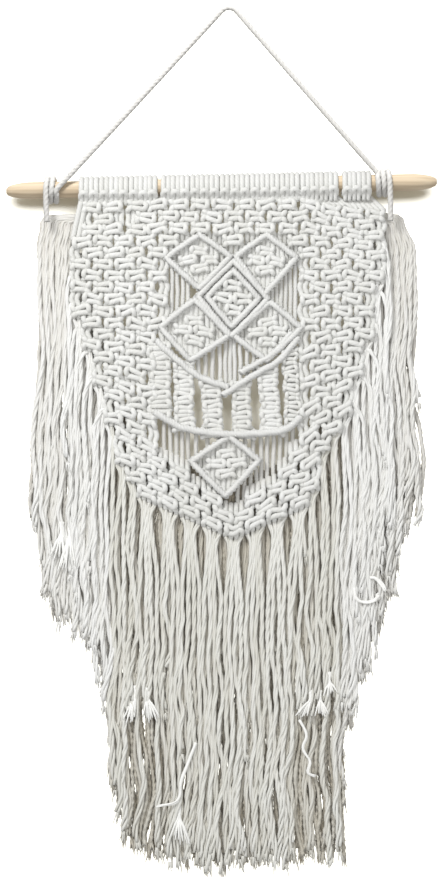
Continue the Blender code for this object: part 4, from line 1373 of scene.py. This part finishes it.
class Fringe:
    """The fringe's three parts, each with its cords and their frayed ends."""

    def __init__(self):
        self.back, self.front, self.ends = {}, {}, {}
        for part, (back, front, ends) in FRINGE_SEEDS.items():
            self.back[part], self.front[part], self.ends[part] = Cords(back), Cords(front), Cords(ends)
        self.tufts = Cords(TUFTS_SEED)

    def hang(self, lane, start, end_drop, depth, bend, radius, yarns):
        """One cord from its start down its lane, in loose yarns or twisted."""
        part = lane_part(lane)
        cords = self.front[part] if yarns else self.back[part]
        more_uneven = 1.0 if part == "centre" else SIDES_MORE_UNEVEN
        end_drop += cords.random.uniform(*UNEVEN_ENDS) * more_uneven
        share, least, most = SHORTER[part]
        if yarns and cords.random.uniform() < share:
            end_drop -= cords.random.uniform(least, most)
        path = hanging_path(cords.random, start, lane, end_drop, depth, bend)
        path = smooth_path(path, LOOSE_STEP if yarns else TWISTED_STEP)
        if yarns:
            loose_yarns(cords, path, radius, cords.random.uniform(*LOOSE_TURN))
        else:
            quick = cords.random.uniform(*TWISTED_QUICK)
            swell = 1 + TWISTED_SWELL * np.sin(np.arange(len(path)) * quick)
            turn = cords.random.uniform(*TWISTED_TURN)
            cords.add(path, radius * swell, TWISTED_SIDES, TWISTED_PLIES, turn)
        fray(self.ends[part], path, radius)

    def finish(self, inner, outer, combed):
        """The pieces, of which the back cords stand for the three CAD nodes."""
        for part in self.back:
            material = inner if part == "centre" else outer
            self.back[part].piece("back_cords_" + part, material, "fringe_cotton", "fringe_" + part)
            self.front[part].piece("front_cords_" + part, material, "fringe_cotton")
            self.ends[part].piece("frayed_ends_" + part, material, "fringe_cotton")
        self.tufts.piece("combed_tufts", combed, "fringe_cotton")


def lane_start(lane, depth):
    """How a lane's cord comes out from behind the net's edge: its first points, and its bend."""
    root, root_drop = between(ROOTS, lane), between(ROOTS, lane, 2)
    if depth > DEEP_LAYER:
        root_drop = max(HIGHEST_ROOT, root_drop - BEHIND_NET)
    bend = BEND + BEND_SLOPE * abs(lane - root)
    outward = -1 if lane < 0 else 1
    inner = outward * min(abs(root) - 3.0, INNER_LEFT if lane < 0 else INNER_RIGHT)
    return [
        (inner, root_drop - 2.0, depth),
        (0.4 * inner + 0.6 * root, root_drop - 1.8, depth),
        (root, root_drop, depth),
        (root + 0.3 * (lane - root), root_drop + 0.35 * bend, depth),
    ], 0.6 * bend


def short_end(random, lane, end_drop):
    """Where a front cord of this lane ends."""
    for first, last, short_drop in SHORT_CORDS:
        if first < lane < last and random.uniform() < SHORT_SHARE:
            return short_drop
    return end_drop


def hang_layers(fringe):
    """The layers behind the net, and the front cords beside its own."""
    lanes = int((LANE_LAST - LANE_FIRST) / LANE_PITCH) + 1
    for offset, root_depth, depth, shorter, radius, yarns, only_beside in FRINGE_LAYERS:
        for number in range(lanes):
            lane = LANE_FIRST + (number + offset) * LANE_PITCH
            beside = lane < NET_LANES[0] or lane > NET_LANES[1]
            if lane > LANE_LAST or (only_beside and not beside):
                continue
            start, bend = lane_start(lane, root_depth)
            end = between(ENDS, lane) - shorter
            if yarns:
                end = short_end(fringe.tufts.random, lane, end)
            fringe.hang(lane, start, end, depth, bend, radius, yarns)


def hang_net_cords(fringe, leaves):
    """The net's own cords, which hang on from its lower edge; those of one knot stay together."""
    for across, drop, knot_across in leaves:
        lane = NET_CORD_LANE * across
        end = short_end(fringe.tufts.random, lane, between(ENDS, lane))
        gathered = knot_across + GATHERED * (across - knot_across)
        places = (across, across, gathered)
        start = [(place, drop + down, lies) for place, (down, lies) in zip(places, NET_CORD_START)]
        fringe.hang(lane, start, end, NET_CORD_DEPTH, NET_CORD_BEND, NET_CORD_RADIUS, True)


def hang_edge_cords(fringe):
    """The cords that leave the net at its slanting sides."""
    for edge, drop, lane, length in EDGE_CORDS:
        start = []
        for share, down, lies in EDGE_CORD_START:
            start.append((edge + share * (lane - edge), drop + down, lies))
        end = drop + length
        fringe.hang(lane, start, end, EDGE_CORD_DEPTH, EDGE_CORD_BEND, EDGE_CORD_RADIUS, True)


def make_fringe(inner, outer, combed, leaves):
    """The fringe's layers, the cords of the net and of its edges, and the combed tufts."""
    fringe = Fringe()
    hang_layers(fringe)
    hang_net_cords(fringe, leaves)
    hang_edge_cords(fringe)
    for tie_across, tie_drop, left, left_drop, right, right_drop, yarns in FANS:
        ends = np.array([(tie_across, tie_drop), (left, left_drop), (right, right_drop)], float)
        fan(fringe.tufts, *ends, yarns)
    for yarns, spread, points in CURLS:
        curl(fringe.tufts, yarns, spread, points)
    fringe.finish(inner, outer, combed)


def fan(cords, tie, left, right, yarns):
    """A short cord's combed end: yarns that spread from their tie like a small brush."""
    for number in range(yarns):
        share = (number + cords.random.uniform(-FAN_JITTER, FAN_JITTER)) / (yarns - 1)
        foot = left + (right - left) * share
        swell = cords.random.uniform(-FAN_STRAY, FAN_STRAY)
        out = cords.random.uniform(*FAN_OUT)
        reach = cords.random.uniform(*FAN_REACH)
        foot = tie + (foot - tie) * reach
        middle = tie + (foot - tie) * 0.5
        line = [
            (tie[0] + cords.random.uniform(-FAN_STRAY, FAN_STRAY), tie[1] - 6.0, FAN_TIE_DEPTH),
            (tie[0] * 0.8 + middle[0] * 0.2, tie[1] * 0.6 + middle[1] * 0.4, FAN_BEND_DEPTH),
            (middle[0] + swell * 0.5, middle[1], out * 0.8),
            (foot[0] + swell, foot[1], out),
        ]
        path = smooth_path(line, FAN_STEP)
        cords.add(path, np.linspace(FAN_THICK, FAN_THIN, len(path)), FAN_SIDES)


def curl(cords, yarns, spread, points):
    """A stray cord's end that lies curled over the fringe: yarns that follow the same line."""
    for _ in range(yarns):
        line = []
        for number, (across, drop) in enumerate(points):
            share = number / (len(points) - 1)
            stray = cords.random.uniform(-1, 1, 3) * (CURL_LOOSE + spread * share)
            depth = CURL_DEPTH - CURL_RISE * share + 0.5 * stray[2]
            line.append((across + stray[0], drop + stray[1], depth))
        path = smooth_path(line, CURL_STEP)
        cords.add(path, np.linspace(CURL_THICK, CURL_THIN, len(path)), CURL_SIDES)


def main():
    """The camera, the hanger cord, the rod, the knotted cords, the fringe, and then the light."""
    make_camera()
    cords = twisted_cotton()
    hung, white, inner, outer, combed = [cotton(cords, *look) for look in COTTONS]
    make_hanger(hung)
    make_rod(pine())
    make_heads(white)
    leaves = make_net(white)
    make_motif(white)
    make_sinnets(white)
    make_floats(white)
    make_fringe(inner, outer, combed, leaves)
    make_light(make_stage())


main()
